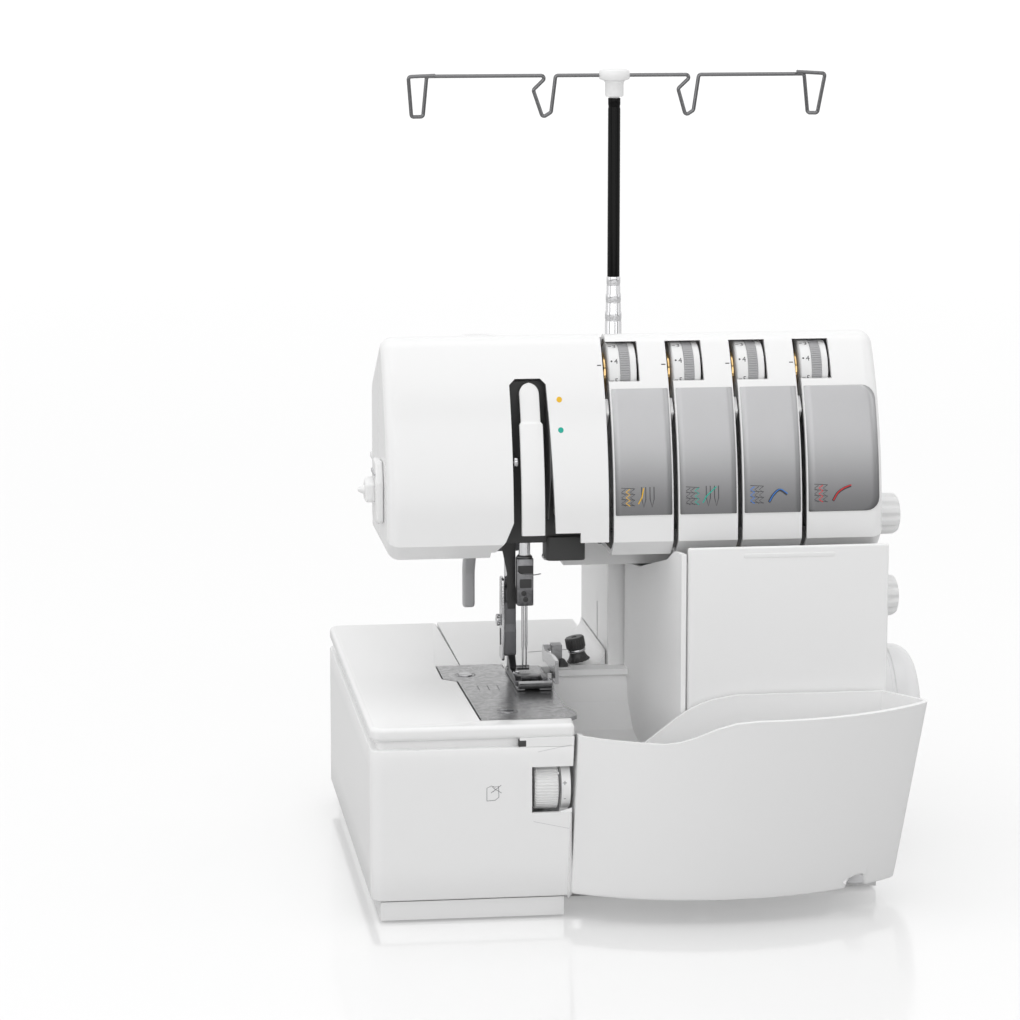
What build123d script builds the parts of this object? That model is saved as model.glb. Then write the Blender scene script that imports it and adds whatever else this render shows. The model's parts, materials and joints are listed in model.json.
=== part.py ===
from build123d import *
import math
import os

# Overlock sewing machine, in millimetres.
# Working frame: X to the right, Y to the back, Z up. X = 0 lies beside the needles, Y = 0 is the
# front of the slide-on table and Z = 0 is the surface that the machine stands on.

# ---- driving dimensions ----
WALL = 2.6                      # thickness of a moulded cover
FIT = 0.05                      # radial running clearance of a shaft in its hole

# slide-on table and base
TABLE_LEFT, TABLE_RIGHT = -104.0, 4.5
TABLE_BACK = 275.0
BED_TOP = 106.0
TABLE_BOTTOM = 12.0
GROOVE_LOW, GROOVE_HIGH, GROOVE_DEPTH = 94.0, 98.5, 4.0
SEAM_X = -39.0                  # joint between the table and the fixed bed cover
RIGHT_EDGE_LEAN = 4.0           # the table's right edge leans in towards its foot
BASE_LOW, BASE_HIGH = 1.5, 11.5

# column and head
COLUMN_LEFT, BODY_RIGHT = 43.5, 180.0
COLUMN_BACK, COLUMN_TOP = 242.0, 205.0
HEAD_LEFT = -90.0
HEAD_FRONT, HEAD_BACK = 45.0, 142.0
HEAD_LOW = 186.0
HEAD_SPLIT = 95.0               # front covers meet the rear cover here
FACE_RADIUS = 160.0             # the front face leans back along this arc
FACE_CENTRE = (HEAD_FRONT + FACE_RADIUS, 200.0)
RIDGE_RADIUS, RIDGE_TOP = 12.0, 302.0
BACK_RADIUS, BACK_SLOPE = 14.0, 30.0
ARM_LOW, ARM_RIGHT = 170.0, 177.0

# thread slots and tension dials
SLOT_FIRST, SLOT_PITCH, SLOT_COUNT = 30.6, 35.15, 4
SLOT_HALF = 1.4
DIAL_Y, DIAL_Z, DIAL_RADIUS = 87.0, 280.0, 17.4
POST_RADIUS = 2.5
SLOTS = [SLOT_FIRST + SLOT_PITCH * i for i in range(SLOT_COUNT)]

# needle, presser and knives
NEEDLE_X, NEEDLE_Y, NEEDLE_BAR_RADIUS = -8.3, 108.0, 3.2
PRESSER_X, PRESSER_Y, PRESSER_BAR_RADIUS = -15.3, 118.5, 3.0
CLAMP_LOW, CLAMP_HIGH = 149.3, 176.0
LIFTER_Y, LIFTER_Z = 130.0, 198.0
TAKE_UP_Y, TAKE_UP_Z = 92.0, 239.0
KNIFE_Y, KNIFE_Z = 147.0, 113.0
KNOB_TILT = 11.0

# drive
SHAFT_Y, SHAFT_Z, SHAFT_RADIUS = 135.0, 78.0, 5.0
WHEEL_INNER, WHEEL_OUTER, WHEEL_RADIUS = 182.0, 221.0, 37.0
MOTOR_Y, MOTOR_Z, MOTOR_RADIUS = 205.0, 50.0, 24.0
PULLEY_X0, PULLEY_X1 = 164.0, 172.0
BIG_PULLEY, SMALL_PULLEY = 24.0, 9.0
BELT_THICKNESS = 1.8

# power inlet on the right-hand wall: spans along Y and Z
SWITCH_SPAN, SWITCH_RISE = (200.0, 218.0), (84.0, 100.0)
SOCKET_SPAN, SOCKET_RISE = (194.0, 216.0), (15.0, 34.0)

# side dials
SIDE_DIAL_Y, SIDE_DIAL_RADIUS = 105.0, 11.5
LENGTH_DIAL_Z, FEED_DIAL_Z = 196.5, 150.0
WIDTH_DIAL_Y, WIDTH_DIAL_Z, WIDTH_DIAL_RADIUS = 13.6, 70.5, 13.2

# looper cover and waste bin
COVER_FRONT, COVER_LEFT, COVER_LOW, COVER_TOP = 30.0, 69.5, 17.0, 193.0
COVER_THICK = 3.0
ROD_Y, ROD_Z, ROD_RADIUS = 38.0, 22.0, 2.5
COVER_SHIFT = 8.0               # the cover slides right by this before it folds down
BIN_BACK, BIN_LOW, BIN_TOP, BIN_DIP = 27.7, 14.0, 113.0, 100.0
BIN_FRONT = -39.5

# thread stand
MAST_X, MAST_Y = 60.2, 232.0
MAST_RADII = (4.8, 4.4, 4.0, 3.6)
MAST_WALL = 0.35
MAST_SPANS = ((150.0, 297.0), (160.0, 307.5), (165.0, 317.6), (285.0, 421.0))
TRAY_LEFT, TRAY_RIGHT, TRAY_FRONT, TRAY_BACK = -78.0, 196.0, 147.0, 300.0
TRAY_LOW, TRAY_THICK = 206.0, 3.0
SPOOL_Y = 262.0
SPOOL_XS = (-54.7, 18.8, 102.3, 172.0)
WIRE_RADIUS, WIRE_Z = 1.1, 434.0

# The part's origin is the middle of its footprint.
ORIGIN = ((TABLE_LEFT + WHEEL_OUTER) / 2, (BIN_FRONT + TRAY_BACK) / 2, 0.0)


# ---- small helpers ----
def block(x0, x1, y0, y1, z0, z1):
    """Rectangular solid between two corners."""
    return Pos((x0 + x1) / 2, (y0 + y1) / 2, (z0 + z1) / 2) * Box(x1 - x0, y1 - y0, z1 - z0)


def rod_x(x0, x1, y, z, radius):
    """Round bar along X."""
    return Pos((x0 + x1) / 2, y, z) * Rot(0, 90, 0) * Cylinder(radius, x1 - x0)


def rod_y(y0, y1, x, z, radius):
    """Round bar along Y."""
    return Pos(x, (y0 + y1) / 2, z) * Rot(90, 0, 0) * Cylinder(radius, y1 - y0)


def rod_z(z0, z1, x, y, radius):
    """Round bar along Z."""
    return Pos(x, y, (z0 + z1) / 2) * Cylinder(radius, z1 - z0)


def place(axis, along, a, b):
    """Point at a distance along an axis, with the two other coordinates a and b in order."""
    return {"x": (along, a, b), "y": (a, along, b), "z": (a, b, along)}[axis]


def prism(points, axis, start, end):
    """Closed polygon across an axis, carried from start to end."""
    outline = Polyline([place(axis, start, a, b) for a, b in points], close=True)
    return extrude(make_face(outline), amount=end - start, dir=place(axis, 1, 0, 0))


def head_solid(inset, x0, x1):
    """Side profile of the head, moved inwards by inset and carried along X."""
    cy, cz = FACE_CENTRE
    reach = FACE_RADIUS - RIDGE_RADIUS
    rise = math.asin((RIDGE_TOP - RIDGE_RADIUS - cz) / reach)
    slope = math.radians(BACK_SLOPE)
    ridge = (cy - reach * math.cos(rise), RIDGE_TOP - RIDGE_RADIUS)
    normal = (math.sin(slope), math.cos(slope))
    back_y = HEAD_BACK - BACK_RADIUS
    drop = RIDGE_RADIUS - BACK_RADIUS - (back_y - ridge[0]) * normal[0]
    back = (back_y, ridge[1] + drop / normal[1])
    face, top, rear = FACE_RADIUS - inset, RIDGE_RADIUS - inset, BACK_RADIUS - inset

    def at(centre, radius, angle):
        return (x0, centre[0] - radius * math.cos(angle), centre[1] + radius * math.sin(angle))

    level = math.pi - (math.pi / 2 - slope)
    lean = math.radians(2)
    start = at(FACE_CENTRE, face, -lean)
    edges = [
        ThreePointArc(start, at(FACE_CENTRE, face, rise / 2), at(FACE_CENTRE, face, rise)),
        ThreePointArc(at(ridge, top, rise), at(ridge, top, (rise + level) / 2), at(ridge, top, level)),
        Line(at(ridge, top, level), at(back, rear, level)),
        ThreePointArc(at(back, rear, level), at(back, rear, (level + math.pi) / 2), at(back, rear, math.pi)),
        Polyline([at(back, rear, math.pi), (x0, HEAD_BACK - inset, HEAD_LOW + inset),
                  (x0, HEAD_FRONT + 9 + inset / 2, HEAD_LOW + inset), start]),
    ]
    return extrude(make_face(edges), amount=x1 - x0, dir=(1, 0, 0))


def face_band(inner, outer, x0, x1, z0, z1):
    """Curved strip that follows the head's front face."""
    cy, cz = FACE_CENTRE
    ring = rod_x(x0, x1, cy, cz, FACE_RADIUS + outer) - rod_x(x0, x1, cy, cz, FACE_RADIUS + inner)
    return ring & block(x0, x1, HEAD_FRONT - 5, cy - 60, z0, z1)


def head_shell():
    """Hollow head with rounded ends."""
    outer = head_solid(0, HEAD_LEFT, BODY_RIGHT)
    ends = outer.faces().sort_by(Axis.X)
    outer = fillet(list(ends[0].edges()) + list(ends[-1].edges()), 7)
    return outer - head_solid(WALL, HEAD_LEFT + WALL, BODY_RIGHT - WALL)


def slot_outline():
    """Take-up opening in the front cover, flared at its foot."""
    return [(-22.3, 278), (-19, 281), (-5.5, 281), (-2.4, 278), (0.5, 200), (14, 200), (14, 194.6),
            (29.2, 194.6), (29.2, 180), (-37, 180), (-33.5, 187), (-26.5, 196), (-22.3, 206)]


# ---- base ----
def base_plate():
    outline = [(-99, 1.5), (-1, 1.5), (-1, 36), (176.8, 36), (176.8, 270), (-99, 270)]
    pocket = [(-96, 4.5), (-4, 4.5), (-4, 39), (173.8, 39), (173.8, 267), (-96, 267)]
    plate = prism(outline, "z", BASE_LOW, BASE_HIGH) - prism(pocket, "z", BASE_LOW + 3.5, BASE_HIGH + 1)
    for x in HINGE_LUGS:
        lug = block(x, x + 8, ROD_Y - 4, ROD_Y + 4, BASE_LOW, ROD_Z + 5)
        plate += lug
    return plate - rod_x(70, 170, ROD_Y, ROD_Z, ROD_RADIUS + FIT)


def rubber_feet():
    spots = [(-84, 18), (-84, 252), (-16, 20), (160, 54), (160, 252)]
    return [rod_z(0, BASE_LOW, x, y, 9) for x, y in spots]


def frame_casting():
    body = block(-34, 160, 150, 232, 5, 10) + block(60, 160, 168, 176, 5, 200)
    for x in BEARING_WALLS:
        body += block(x, x + 6, 112, 170, 5, 104)
    body += block(-38, 62, 137.5, 156, 84, 96.5)
    body += block(-40, 3, 18, 142.2, 97, 103.9) - block(-21, 4, 84, 132, 96, 105)
    body += block(-40, 3, 134.5, 142.2, 84, 103.9)
    body += block(-62, 172, 122.6, 134, 200, 252) + block(60, 160, 122.6, 176, 174, 200.5)
    for x in LIFTER_LUGS:
        body += block(x, x + 6, 123, 136, 192, 206)
    body -= rod_x(-60, -15, LIFTER_Y, LIFTER_Z, POST_RADIUS + FIT)
    body += block(-34, 6, 136.5, 144, 12, 86) + block(-34, 6, 136.5, 156, 5, 14)
    body += block(-27, 1, 99, 123, 200, 212) + block(-27, 1, 99, 123, 240, 252)
    body += block(-2, 4, 86, 123, 232, 246)
    body += block(12, 18, 143.6, 151.6, 96, 118)
    rib = [(82, 273), (82, 287), (100, 287), (126, 270), (126, 251), (122.6, 251), (122.6, 262), (104, 273)]
    for x in SLOTS:
        body += prism(rib, "x", x + 20, x + 22.4)
        body -= rod_x(x + 19, x + 23, DIAL_Y, DIAL_Z, POST_RADIUS + FIT)
    body -= rod_x(50, 165, SHAFT_Y, SHAFT_Z, SHAFT_RADIUS + FIT)
    body -= rod_z(195, 255, NEEDLE_X, NEEDLE_Y, NEEDLE_BAR_RADIUS + FIT)
    body -= rod_z(195, 255, PRESSER_X, PRESSER_Y, PRESSER_BAR_RADIUS + FIT)
    body -= rod_x(-5, 6, TAKE_UP_Y, TAKE_UP_Z, POST_RADIUS + FIT)
    body -= rod_x(10, 19, KNIFE_Y, KNIFE_Z, POST_RADIUS + FIT)
    for x, z in LOOPER_PIVOTS:
        body -= rod_y(130, 146, x, z, 3 + FIT)
    for x, y in PLATE_SCREWS:
        body -= rod_z(95, 105, x, y, 2.1)
    return body - block(-42, -25, 120, 137, 190, 228)


def column_housing():
    side = [(43, 12), (COLUMN_BACK, 12), (COLUMN_BACK, 197), (234, COLUMN_TOP), (143.2, COLUMN_TOP),
            (143.2, 185.5), (34, 185.5), (34, 27), (43, 27)]
    hollow = [(36, 10), (COLUMN_BACK - WALL, 10), (COLUMN_BACK - WALL, 196), (233, COLUMN_TOP - WALL),
              (143.2 + WALL, COLUMN_TOP - WALL), (143.2 + WALL, 182.9), (36, 182.9)]
    shell = prism(side, "x", COLUMN_LEFT, BODY_RIGHT)
    shell -= prism(hollow, "x", COLUMN_LEFT + WALL, BODY_RIGHT - WALL)
    shell -= block(40, BODY_RIGHT - WALL, 30, 142, 0, 190)
    shell -= block(58, 162, 142, 147, 172, 202)
    shell -= block(40, BODY_RIGHT - WALL, 140, 146, 168, 187)
    shell -= block(40, 50, 137, 156.6, 83.4, 97.1)
    shell -= rod_x(170, 190, SHAFT_Y, SHAFT_Z, 7)
    shell -= rod_x(170, 190, SIDE_DIAL_Y, FEED_DIAL_Z, 4 + FIT)
    shell -= block(170, 190, *SWITCH_SPAN, *SWITCH_RISE) + block(170, 190, *SOCKET_SPAN, *SOCKET_RISE)
    shell -= rod_z(140, 210, MAST_X, MAST_Y, MAST_RADII[0] + 0.4)
    return shell


# ---- head ----
def head_front_cover():
    cover = head_shell() & block(HEAD_LEFT - 1, SLOTS[0] - SLOT_HALF, 30, HEAD_SPLIT, 150, 320)
    cover -= prism(slot_outline(), "y", 30, 72)
    return cover - block(-34, 35, 50, 100, 180, 189.5)


def head_rear_cover():
    cover = head_shell() & block(HEAD_LEFT - 1, BODY_RIGHT + 1, HEAD_SPLIT + 0.4, 150, 150, 320)
    arm = block(14, ARM_RIGHT, 112, HEAD_BACK, ARM_LOW, HEAD_LOW + 1)
    arm -= block(14 + WALL, ARM_RIGHT - WALL, 112 + WALL, HEAD_BACK - WALL, ARM_LOW + WALL, HEAD_LOW + 3)
    cover += arm
    cover -= block(-34, 14, 90, 131, 180, 190)
    cover -= block(14 + WALL, ARM_RIGHT - WALL, 112 + WALL, HEAD_BACK - WALL, HEAD_LOW - 1, HEAD_LOW + 4)
    cover -= block(-42, -25, 120, 145, 180, 232)
    cover -= block(58, 162, 136, 145, ARM_LOW + WALL, 202)
    cover -= rod_z(270, 310, -33.7, 108, 11.7)
    return cover - rod_x(170, 190, SIDE_DIAL_Y, LENGTH_DIAL_Z, 4 + FIT)


def tension_cover():
    cover = head_shell() & block(SLOTS[0] + SLOT_HALF, BODY_RIGHT + 1, 30, HEAD_SPLIT, 150, 320)
    for x in SLOTS[1:]:
        cover -= block(x - SLOT_HALF, x + SLOT_HALF, 30, HEAD_SPLIT + 1, 180, 298.8)
    for x in SLOTS:
        cover -= block(x - SLOT_HALF, x + 18.4, 30, 83, 278.6, 298.8)
    return cover


def silver_inlays():
    plates = []
    for i, x in enumerate(SLOTS):
        end = x + 33.0 if i < SLOT_COUNT - 1 else BODY_RIGHT - 2.8
        plates.append(face_band(0.05, 0.4, x + 2.2, end, 209, 275))
    return plates


def tension_posts():
    return [rod_x(x - 4, x + 23.5, DIAL_Y, DIAL_Z, POST_RADIUS) for x in SLOTS]


def tension_discs():
    discs = []
    for x in SLOTS:
        for start in (x - 1.4, x + 0.2):
            disc = rod_x(start, start + 0.9, DIAL_Y, DIAL_Z, 12)
            discs.append(disc - rod_x(start - 1, start + 2, DIAL_Y, DIAL_Z, POST_RADIUS + FIT))
    return discs


def tension_dial(x):
    wheel = rod_x(x + 1.9, x + 17.2, DIAL_Y, DIAL_Z, DIAL_RADIUS)
    wheel -= rod_x(x + 5, x + 18, DIAL_Y, DIAL_Z, DIAL_RADIUS - 2.2)
    band = rod_x(x + 8.2, x + 13.8, DIAL_Y, DIAL_Z, DIAL_RADIUS + 1)
    wheel -= band - rod_x(x + 8, x + 14, DIAL_Y, DIAL_Z, DIAL_RADIUS - 0.5)
    wheel += rod_x(x + 1.9, x + 17.2, DIAL_Y, DIAL_Z, 5)
    return wheel - rod_x(x, x + 19, DIAL_Y, DIAL_Z, POST_RADIUS + FIT)


def take_up_guard():
    tab = [(57, 265), (57, 269), (112, 269), (126, 260), (126, 252.1), (122.6, 252.1), (122.6, 257), (110, 265)]
    return face_band(-3.4, 0.0, -18.2, -4.8, 199, 279.5) + prism(tab, "x", -14, -9)


def take_up_lever():
    arm = [(97, 235), (97, 243), (86, 243), (60, 240), (51, 240), (50, 235), (60, 234)]
    lever = prism(arm, "x", -21.4, -19.2) + rod_x(-21.4, -19.2, TAKE_UP_Y, TAKE_UP_Z, 5)
    lever += rod_x(-20, 4, TAKE_UP_Y, TAKE_UP_Z, POST_RADIUS)
    return lever - rod_x(-25, -15, 54.5, 237.5, 1.2)


def pressure_dial():
    dial = rod_z(288, 299.7, -33.7, 108, 11)
    return fillet(dial.edges().sort_by(Axis.Z)[-1], 2.0)


def lamp():
    body = block(-1, 20.5, 72, 90, 180, 193.5)
    return body - block(2, 17, 75, 87, 179, 182)


def thread_cutter():
    plate = [(-98.5, 236), (-95.5, 236), (HEAD_LEFT - 0.2, 212), (HEAD_LEFT - 0.2, 203), (-93, 202)]
    beak = [(-94, 226), (-103.3, 220.5), (-94, 216)]
    return prism(plate, "y", 66, 92) + prism(beak, "y", 74, 84)


# ---- needle and presser ----
def needle_bar():
    return rod_z(CLAMP_HIGH, 256, NEEDLE_X, NEEDLE_Y, NEEDLE_BAR_RADIUS)


def needle_clamp():
    clamp = block(-13, -3.8, 102.6, 112.6, CLAMP_LOW, CLAMP_HIGH)
    clamp -= block(-11, -5, 100, 105, 165, 170)
    for x, y in NEEDLES:
        clamp -= rod_z(CLAMP_LOW - 1, CLAMP_LOW + 10, x, y, 0.82)
    for x, z in CLAMP_SCREWS:
        clamp -= rod_y(101, 103.4, x, z, 1.5)
    return clamp


def needles():
    pair = []
    for x, y in NEEDLES:
        shank = rod_z(124, CLAMP_LOW + 9.9, x, y, 0.8)
        pair.append(shank + Pos(x, y, 120) * Cone(0.1, 0.8, 8))
    return pair


def presser_bar():
    return rod_z(150, 250, PRESSER_X, PRESSER_Y, PRESSER_BAR_RADIUS)


def presser_shank():
    return block(-19, -12.2, 113.8, 123, 119, 150) + block(-20.6, -18.8, 112, 124, 116, 163)


def presser_foot():
    sole = block(-15.8, 4, 78, 135, 106.4, 108.6) - block(-11.2, -3.6, 97, 114, 105, 110)
    toe = rod_x(-12, 4, 80, 109.6, 2.6)
    ankle = block(-17, -12.4, 113.8, 121, 108.5, 119) + block(-15.8, -13.2, 84, 116, 108.5, 113)
    return sole + toe + ankle


def presser_screw():
    head = rod_x(-23.2, -20.65, 118.4, 138.7, 3.4)
    return head - block(-24, -22.4, 117.9, 118.9, 134, 143)


def presser_lifter():
    side = [(126, 203), (134, 203), (138, 186), (149, 168), (153, 168), (153, 140), (147, 140), (147, 162),
            (134, 180), (126, 193)]
    lever = prism(side, "x", -38, -31.2) + rod_x(-38, -31.2, LIFTER_Y, LIFTER_Z, 5)
    return lever + rod_x(-50, -18.5, LIFTER_Y, LIFTER_Z, POST_RADIUS)


# ---- bed ----
def free_arm_cover():
    cover = block(-50, 1.8, 8, 130, 12, 96.4) - block(-47.5, 4, 10.5, 131, 11, 97)
    cover -= block(-17.5, -2.6, 7, 12, 55, 86)
    bezel = rod_x(-2.4, 2.4, WIDTH_DIAL_Y, WIDTH_DIAL_Z, WIDTH_DIAL_RADIUS) & block(-3, 3.5, 0, 9, 58.6, 82.4)
    return cover + bezel


def bed_cover():
    top = block(SEAM_X, 43, 152.8, TABLE_BACK, BED_TOP - 3, BED_TOP)
    top += block(-15.2, 43, 143, 154, BED_TOP - 3, BED_TOP) - block(11.4, 18.6, 142, 152.2, 100, 110)
    top += block(SEAM_X, 43, TABLE_BACK - WALL, TABLE_BACK, TABLE_BOTTOM, BED_TOP)
    top += block(SEAM_X, SEAM_X + WALL, 157, TABLE_BACK, 90, BED_TOP)
    cove = block(35, 43, 146, 241, BED_TOP - 1, 114) - rod_y(140, 245, 35, 114, 8)
    return top + cove


def stitch_plate():
    outline = [(-52.7, 152), (-52.7, 117.5), (-45.2, 110), (-43.6, 14), (3.7, 14), (8.2, 19), (9.2, 26),
               (8.2, 33), (4.6, 44), (4.7, 142), (-15.8, 142), (-15.8, 152)]
    plate = prism(outline, "z", BED_TOP - 2, BED_TOP)
    plate -= block(-10.8, -4.4, 103.6, 112, 100, 110)
    for x in FEED_BARS:
        plate -= block(x - 0.6, x + 3.6, 95.6, 128.4, 100, 110)
    for x, y in PLATE_SCREWS:
        plate -= rod_z(100, 110, x, y, 4.1)
    return plate


def plate_screws():
    screws = []
    for x, y in PLATE_SCREWS:
        head = rod_z(BED_TOP - 1.9, BED_TOP + 0.5, x, y, 4)
        head -= block(x - 5, x + 5, y - 0.6, y + 0.6, BED_TOP - 0.5, 110)
        screws.append(head + rod_z(98, BED_TOP - 1.8, x, y, 2))
    return screws


def feed_dogs():
    body = block(FEED_BARS[0], FEED_BARS[1] + 3, 114, 124, 92, 96)
    for x in FEED_BARS:
        bar = block(x, x + 3, 98.5, 125.5, 93, 105.7)
        for i in range(16):
            y = 99.2 + 1.65 * i
            bar -= prism([(y, 105.8), (y + 0.8, 104.6), (y + 1.6, 105.8)], "x", x - 1, x + 4)
        body += bar
    return body


def lower_knife():
    return prism([(98, 84), (112, 84), (112, 106), (98, 104.5)], "x", 5.3, 7.0)


def upper_knife():
    side = [(97, 106), (112, 104.5), (112, 110), (141, 110), (147, 108), (152, 113), (147, 118), (140, 116),
            (110, 119), (97, 119)]
    knife = prism(side, "x", 7.5, 9.4) + rod_x(7.5, 11.4, KNIFE_Y, KNIFE_Z, 5)
    return knife + rod_x(11, 18, KNIFE_Y, KNIFE_Z, POST_RADIUS)


def knife_knob():
    body = Cylinder(5.6, 7, align=(Align.CENTER, Align.CENTER, Align.MIN))
    neck = Cylinder(4.4, 6, align=(Align.CENTER, Align.CENTER, Align.MIN))
    skirt = Cone(6.6, 5, 3, align=(Align.CENTER, Align.CENTER, Align.MIN))
    knob = skirt + Pos(0, 0, 2) * neck + Pos(0, 0, 7) * body
    return Pos(*KNOB_FOOT) * Rot(0, -KNOB_TILT, 0) * knob


def looper(index):
    """Hook on a rocking shaft under the stitch plate; the upper one points left, the lower one right."""
    x, z = LOOPER_PIVOTS[index]
    front = 100.0 + 16 * index
    side = -1 if index == 0 else 1
    hook = [(x - 2.4 * side, z + 4), (x + 2.6 * side, z + 4), (x + 2.6 * side, z + 38), (x + 9 * side, z + 47),
            (x + 8.4 * side, z + 48.5), (x - 2.4 * side, z + 42)]
    blade = prism(hook, "y", front + 0.5, front + 3)
    return rod_y(front - 1, front + 4, x, z, 6) + blade + rod_y(front - 0.5, 144, x, z, 3)


# ---- right-hand cover, chute and bin ----
def looper_cover():
    plate = block(COVER_LEFT, BODY_RIGHT - 0.4, COVER_FRONT, COVER_FRONT + COVER_THICK, COVER_LOW, COVER_TOP)
    plate += block(COVER_LEFT, COVER_LEFT + COVER_THICK, COVER_FRONT, 41, COVER_LOW + 20, 184)
    for x in (96.0, 130.0):
        plate += block(x, x + 8, COVER_FRONT + 1, ROD_Y + 4, ROD_Z - 4, ROD_Z + 5)
    for x in HINGE_LUGS:
        plate -= block(x - 0.6 - COVER_SHIFT, x + 8.6, COVER_FRONT - 1, 45, COVER_LOW - 1, ROD_Z + 6)
    return plate - rod_x(70, 170, ROD_Y, ROD_Z, ROD_RADIUS + FIT)


def cover_rod():
    return rod_x(73, 164, ROD_Y, ROD_Z, ROD_RADIUS)


def waste_chute():
    wall = prism([(66.3, COVER_FRONT), (68.9, COVER_FRONT), (55, 136), (52.4, 136)], "z", COVER_LOW, 190)
    wall &= prism([(29, 16), (137, 16), (137, 166.5), (108, 169), (56, 182.5), (44, 189), (29, 190)], "x", 40, 80)
    ramp = [(132, 104), (129, 88), (118, 74), (95, 64), (40, 50), (40, 47.4), (96, 61.5), (120, 72),
            (131.4, 87), (134.4, 104)]
    shelf = block(12, 53.2, 128, 141, BED_TOP - 2.4, BED_TOP + 0.8)
    slide = prism(ramp, "x", 8, 66) & prism([(8, 30), (67, 30), (53.5, 136), (8, 136)], "z", 40, 110)
    return wall + slide + shelf


def bin_outline(z, left, right_front, right_back, front, inset):
    """Plan of the bin at one height: a bowed front, a leaning right end and a flat back."""
    a = (left + inset, -3 + inset, z)
    b = (right_front[0] - 1.3 * inset, right_front[1], z)
    c = (right_back - inset, BIN_BACK - inset, z)
    d = (left + inset, BIN_BACK - inset, z)
    bow = ThreePointArc(a, ((a[0] + b[0]) / 2, front + inset, z), b)
    return make_face([bow, Polyline([b, c, d, a])])


def waste_bin():
    def body(z0, z1, inset):
        low = bin_outline(z0, 2.4, (183, 11), 172, -26, inset)
        high = bin_outline(z1, 6.6, (197, -1), 177, BIN_FRONT, inset)
        return loft([low, high])
    shell = body(BIN_LOW, BIN_TOP, 0) - body(BIN_LOW + WALL, BIN_TOP + 0.01, WALL)
    swoop = [(0, BIN_DIP), (48, BIN_DIP - 0.5), (60, BIN_DIP + 2), (74, BIN_DIP + 9), (84, BIN_TOP - 1.2),
             (96, BIN_TOP), (96, 130), (0, 130)]
    shell -= prism(swoop, "y", -60, 40)
    rear = [(0, 84), (46, 86), (56, 96), (68, 104), (80, 110.5), (96, BIN_TOP), (96, 130), (0, 130)]
    shell -= prism(rear, "y", 20, 40)
    return shell - rod_y(-60, 8, 159, BIN_LOW, 7)


def slide_on_table():
    solid = block(TABLE_LEFT, TABLE_RIGHT, 0, TABLE_BACK, TABLE_BOTTOM, BED_TOP)
    solid = fillet(solid.edges().filter_by(Axis.Z).sort_by(Axis.X)[:2], 7)
    solid -= block(TABLE_LEFT + WALL, TABLE_RIGHT + 1, WALL, TABLE_BACK - WALL, 0, GROOVE_LOW - WALL)
    solid -= block(TABLE_LEFT + GROOVE_DEPTH + WALL, TABLE_RIGHT + 1, GROOVE_DEPTH + WALL,
                   TABLE_BACK - WALL, 0, BED_TOP - WALL)
    groove = block(TABLE_LEFT - 1, -22, -1, TABLE_BACK + 1, GROOVE_LOW, GROOVE_HIGH)
    groove -= block(TABLE_LEFT + GROOVE_DEPTH, 0, GROOVE_DEPTH, TABLE_BACK + 2, 0, 120)
    solid -= groove
    solid -= prism([(-44.3, 13.4), (-53.3, 13.4), (-53.3, 152.6), (10, 152.6), (10, 13.4)], "z", 0, 120)
    solid += prism([(-54, 13.4), (-44.4, 13.4), (-45.9, 109.6), (-54, 117)], "z", BED_TOP - WALL, BED_TOP)
    solid -= block(SEAM_X - 0.5, 10, 150, 280, 0, 120)
    solid -= prism([(TABLE_RIGHT, BED_TOP), (10, BED_TOP), (10, 0), (TABLE_RIGHT - RIGHT_EDGE_LEAN, 0)], "y", -5, 15)
    return solid - block(-18.4, 10, -5, 15, 58, 83)


# ---- dials on the machine's sides ----
def cutting_width_dial():
    wheel = rod_x(-16.4, -3, WIDTH_DIAL_Y, WIDTH_DIAL_Z, WIDTH_DIAL_RADIUS)
    for i in range(48):
        turn = math.radians(7.5 * i)
        y = WIDTH_DIAL_Y + WIDTH_DIAL_RADIUS * math.cos(turn)
        z = WIDTH_DIAL_Z + WIDTH_DIAL_RADIUS * math.sin(turn)
        wheel -= rod_x(-17, -2.5, y, z, 0.35)
    return wheel + rod_x(-30, -16, WIDTH_DIAL_Y, WIDTH_DIAL_Z, 2.8)


def side_dial(z):
    knob = rod_x(BODY_RIGHT + 2, BODY_RIGHT + 21.5, SIDE_DIAL_Y, z, SIDE_DIAL_RADIUS)
    knob = fillet(knob.edges().sort_by(Axis.X)[-1], 2.5)
    for i in range(10):
        turn = math.radians(36 * i)
        y = SIDE_DIAL_Y + (SIDE_DIAL_RADIUS + 1) * math.cos(turn)
        knob -= rod_x(BODY_RIGHT + 5, BODY_RIGHT + 22, y, z + (SIDE_DIAL_RADIUS + 1) * math.sin(turn), 2.2)
    return knob + rod_x(BODY_RIGHT - 8, BODY_RIGHT + 2, SIDE_DIAL_Y, z, 4)


def power_switch():
    (y0, y1), (z0, z1) = SWITCH_SPAN, SWITCH_RISE
    rocker = block(BODY_RIGHT - 4, BODY_RIGHT + 2.5, y0 + 0.6, y1 - 0.6, z0 + 1.1, z1 - 1.1)
    return rocker - rod_y(y0, y1, BODY_RIGHT + 16, (z0 + z1) / 2, 15)


def power_socket():
    (y0, y1), (z0, z1) = SOCKET_SPAN, SOCKET_RISE
    socket = block(BODY_RIGHT - 16, BODY_RIGHT + 1, y0 + 0.2, y1 - 0.2, z0 + 0.2, z1 - 0.2)
    socket -= block(BODY_RIGHT - 13, BODY_RIGHT + 2, y0 + 3, y1 - 3, z0 + 3, z1 - 3)
    for y in (y0 + 7.5, y1 - 7.5):
        socket += rod_x(BODY_RIGHT - 14, BODY_RIGHT - 4, y, (z0 + z1) / 2, 1.2)
    return socket


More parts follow.
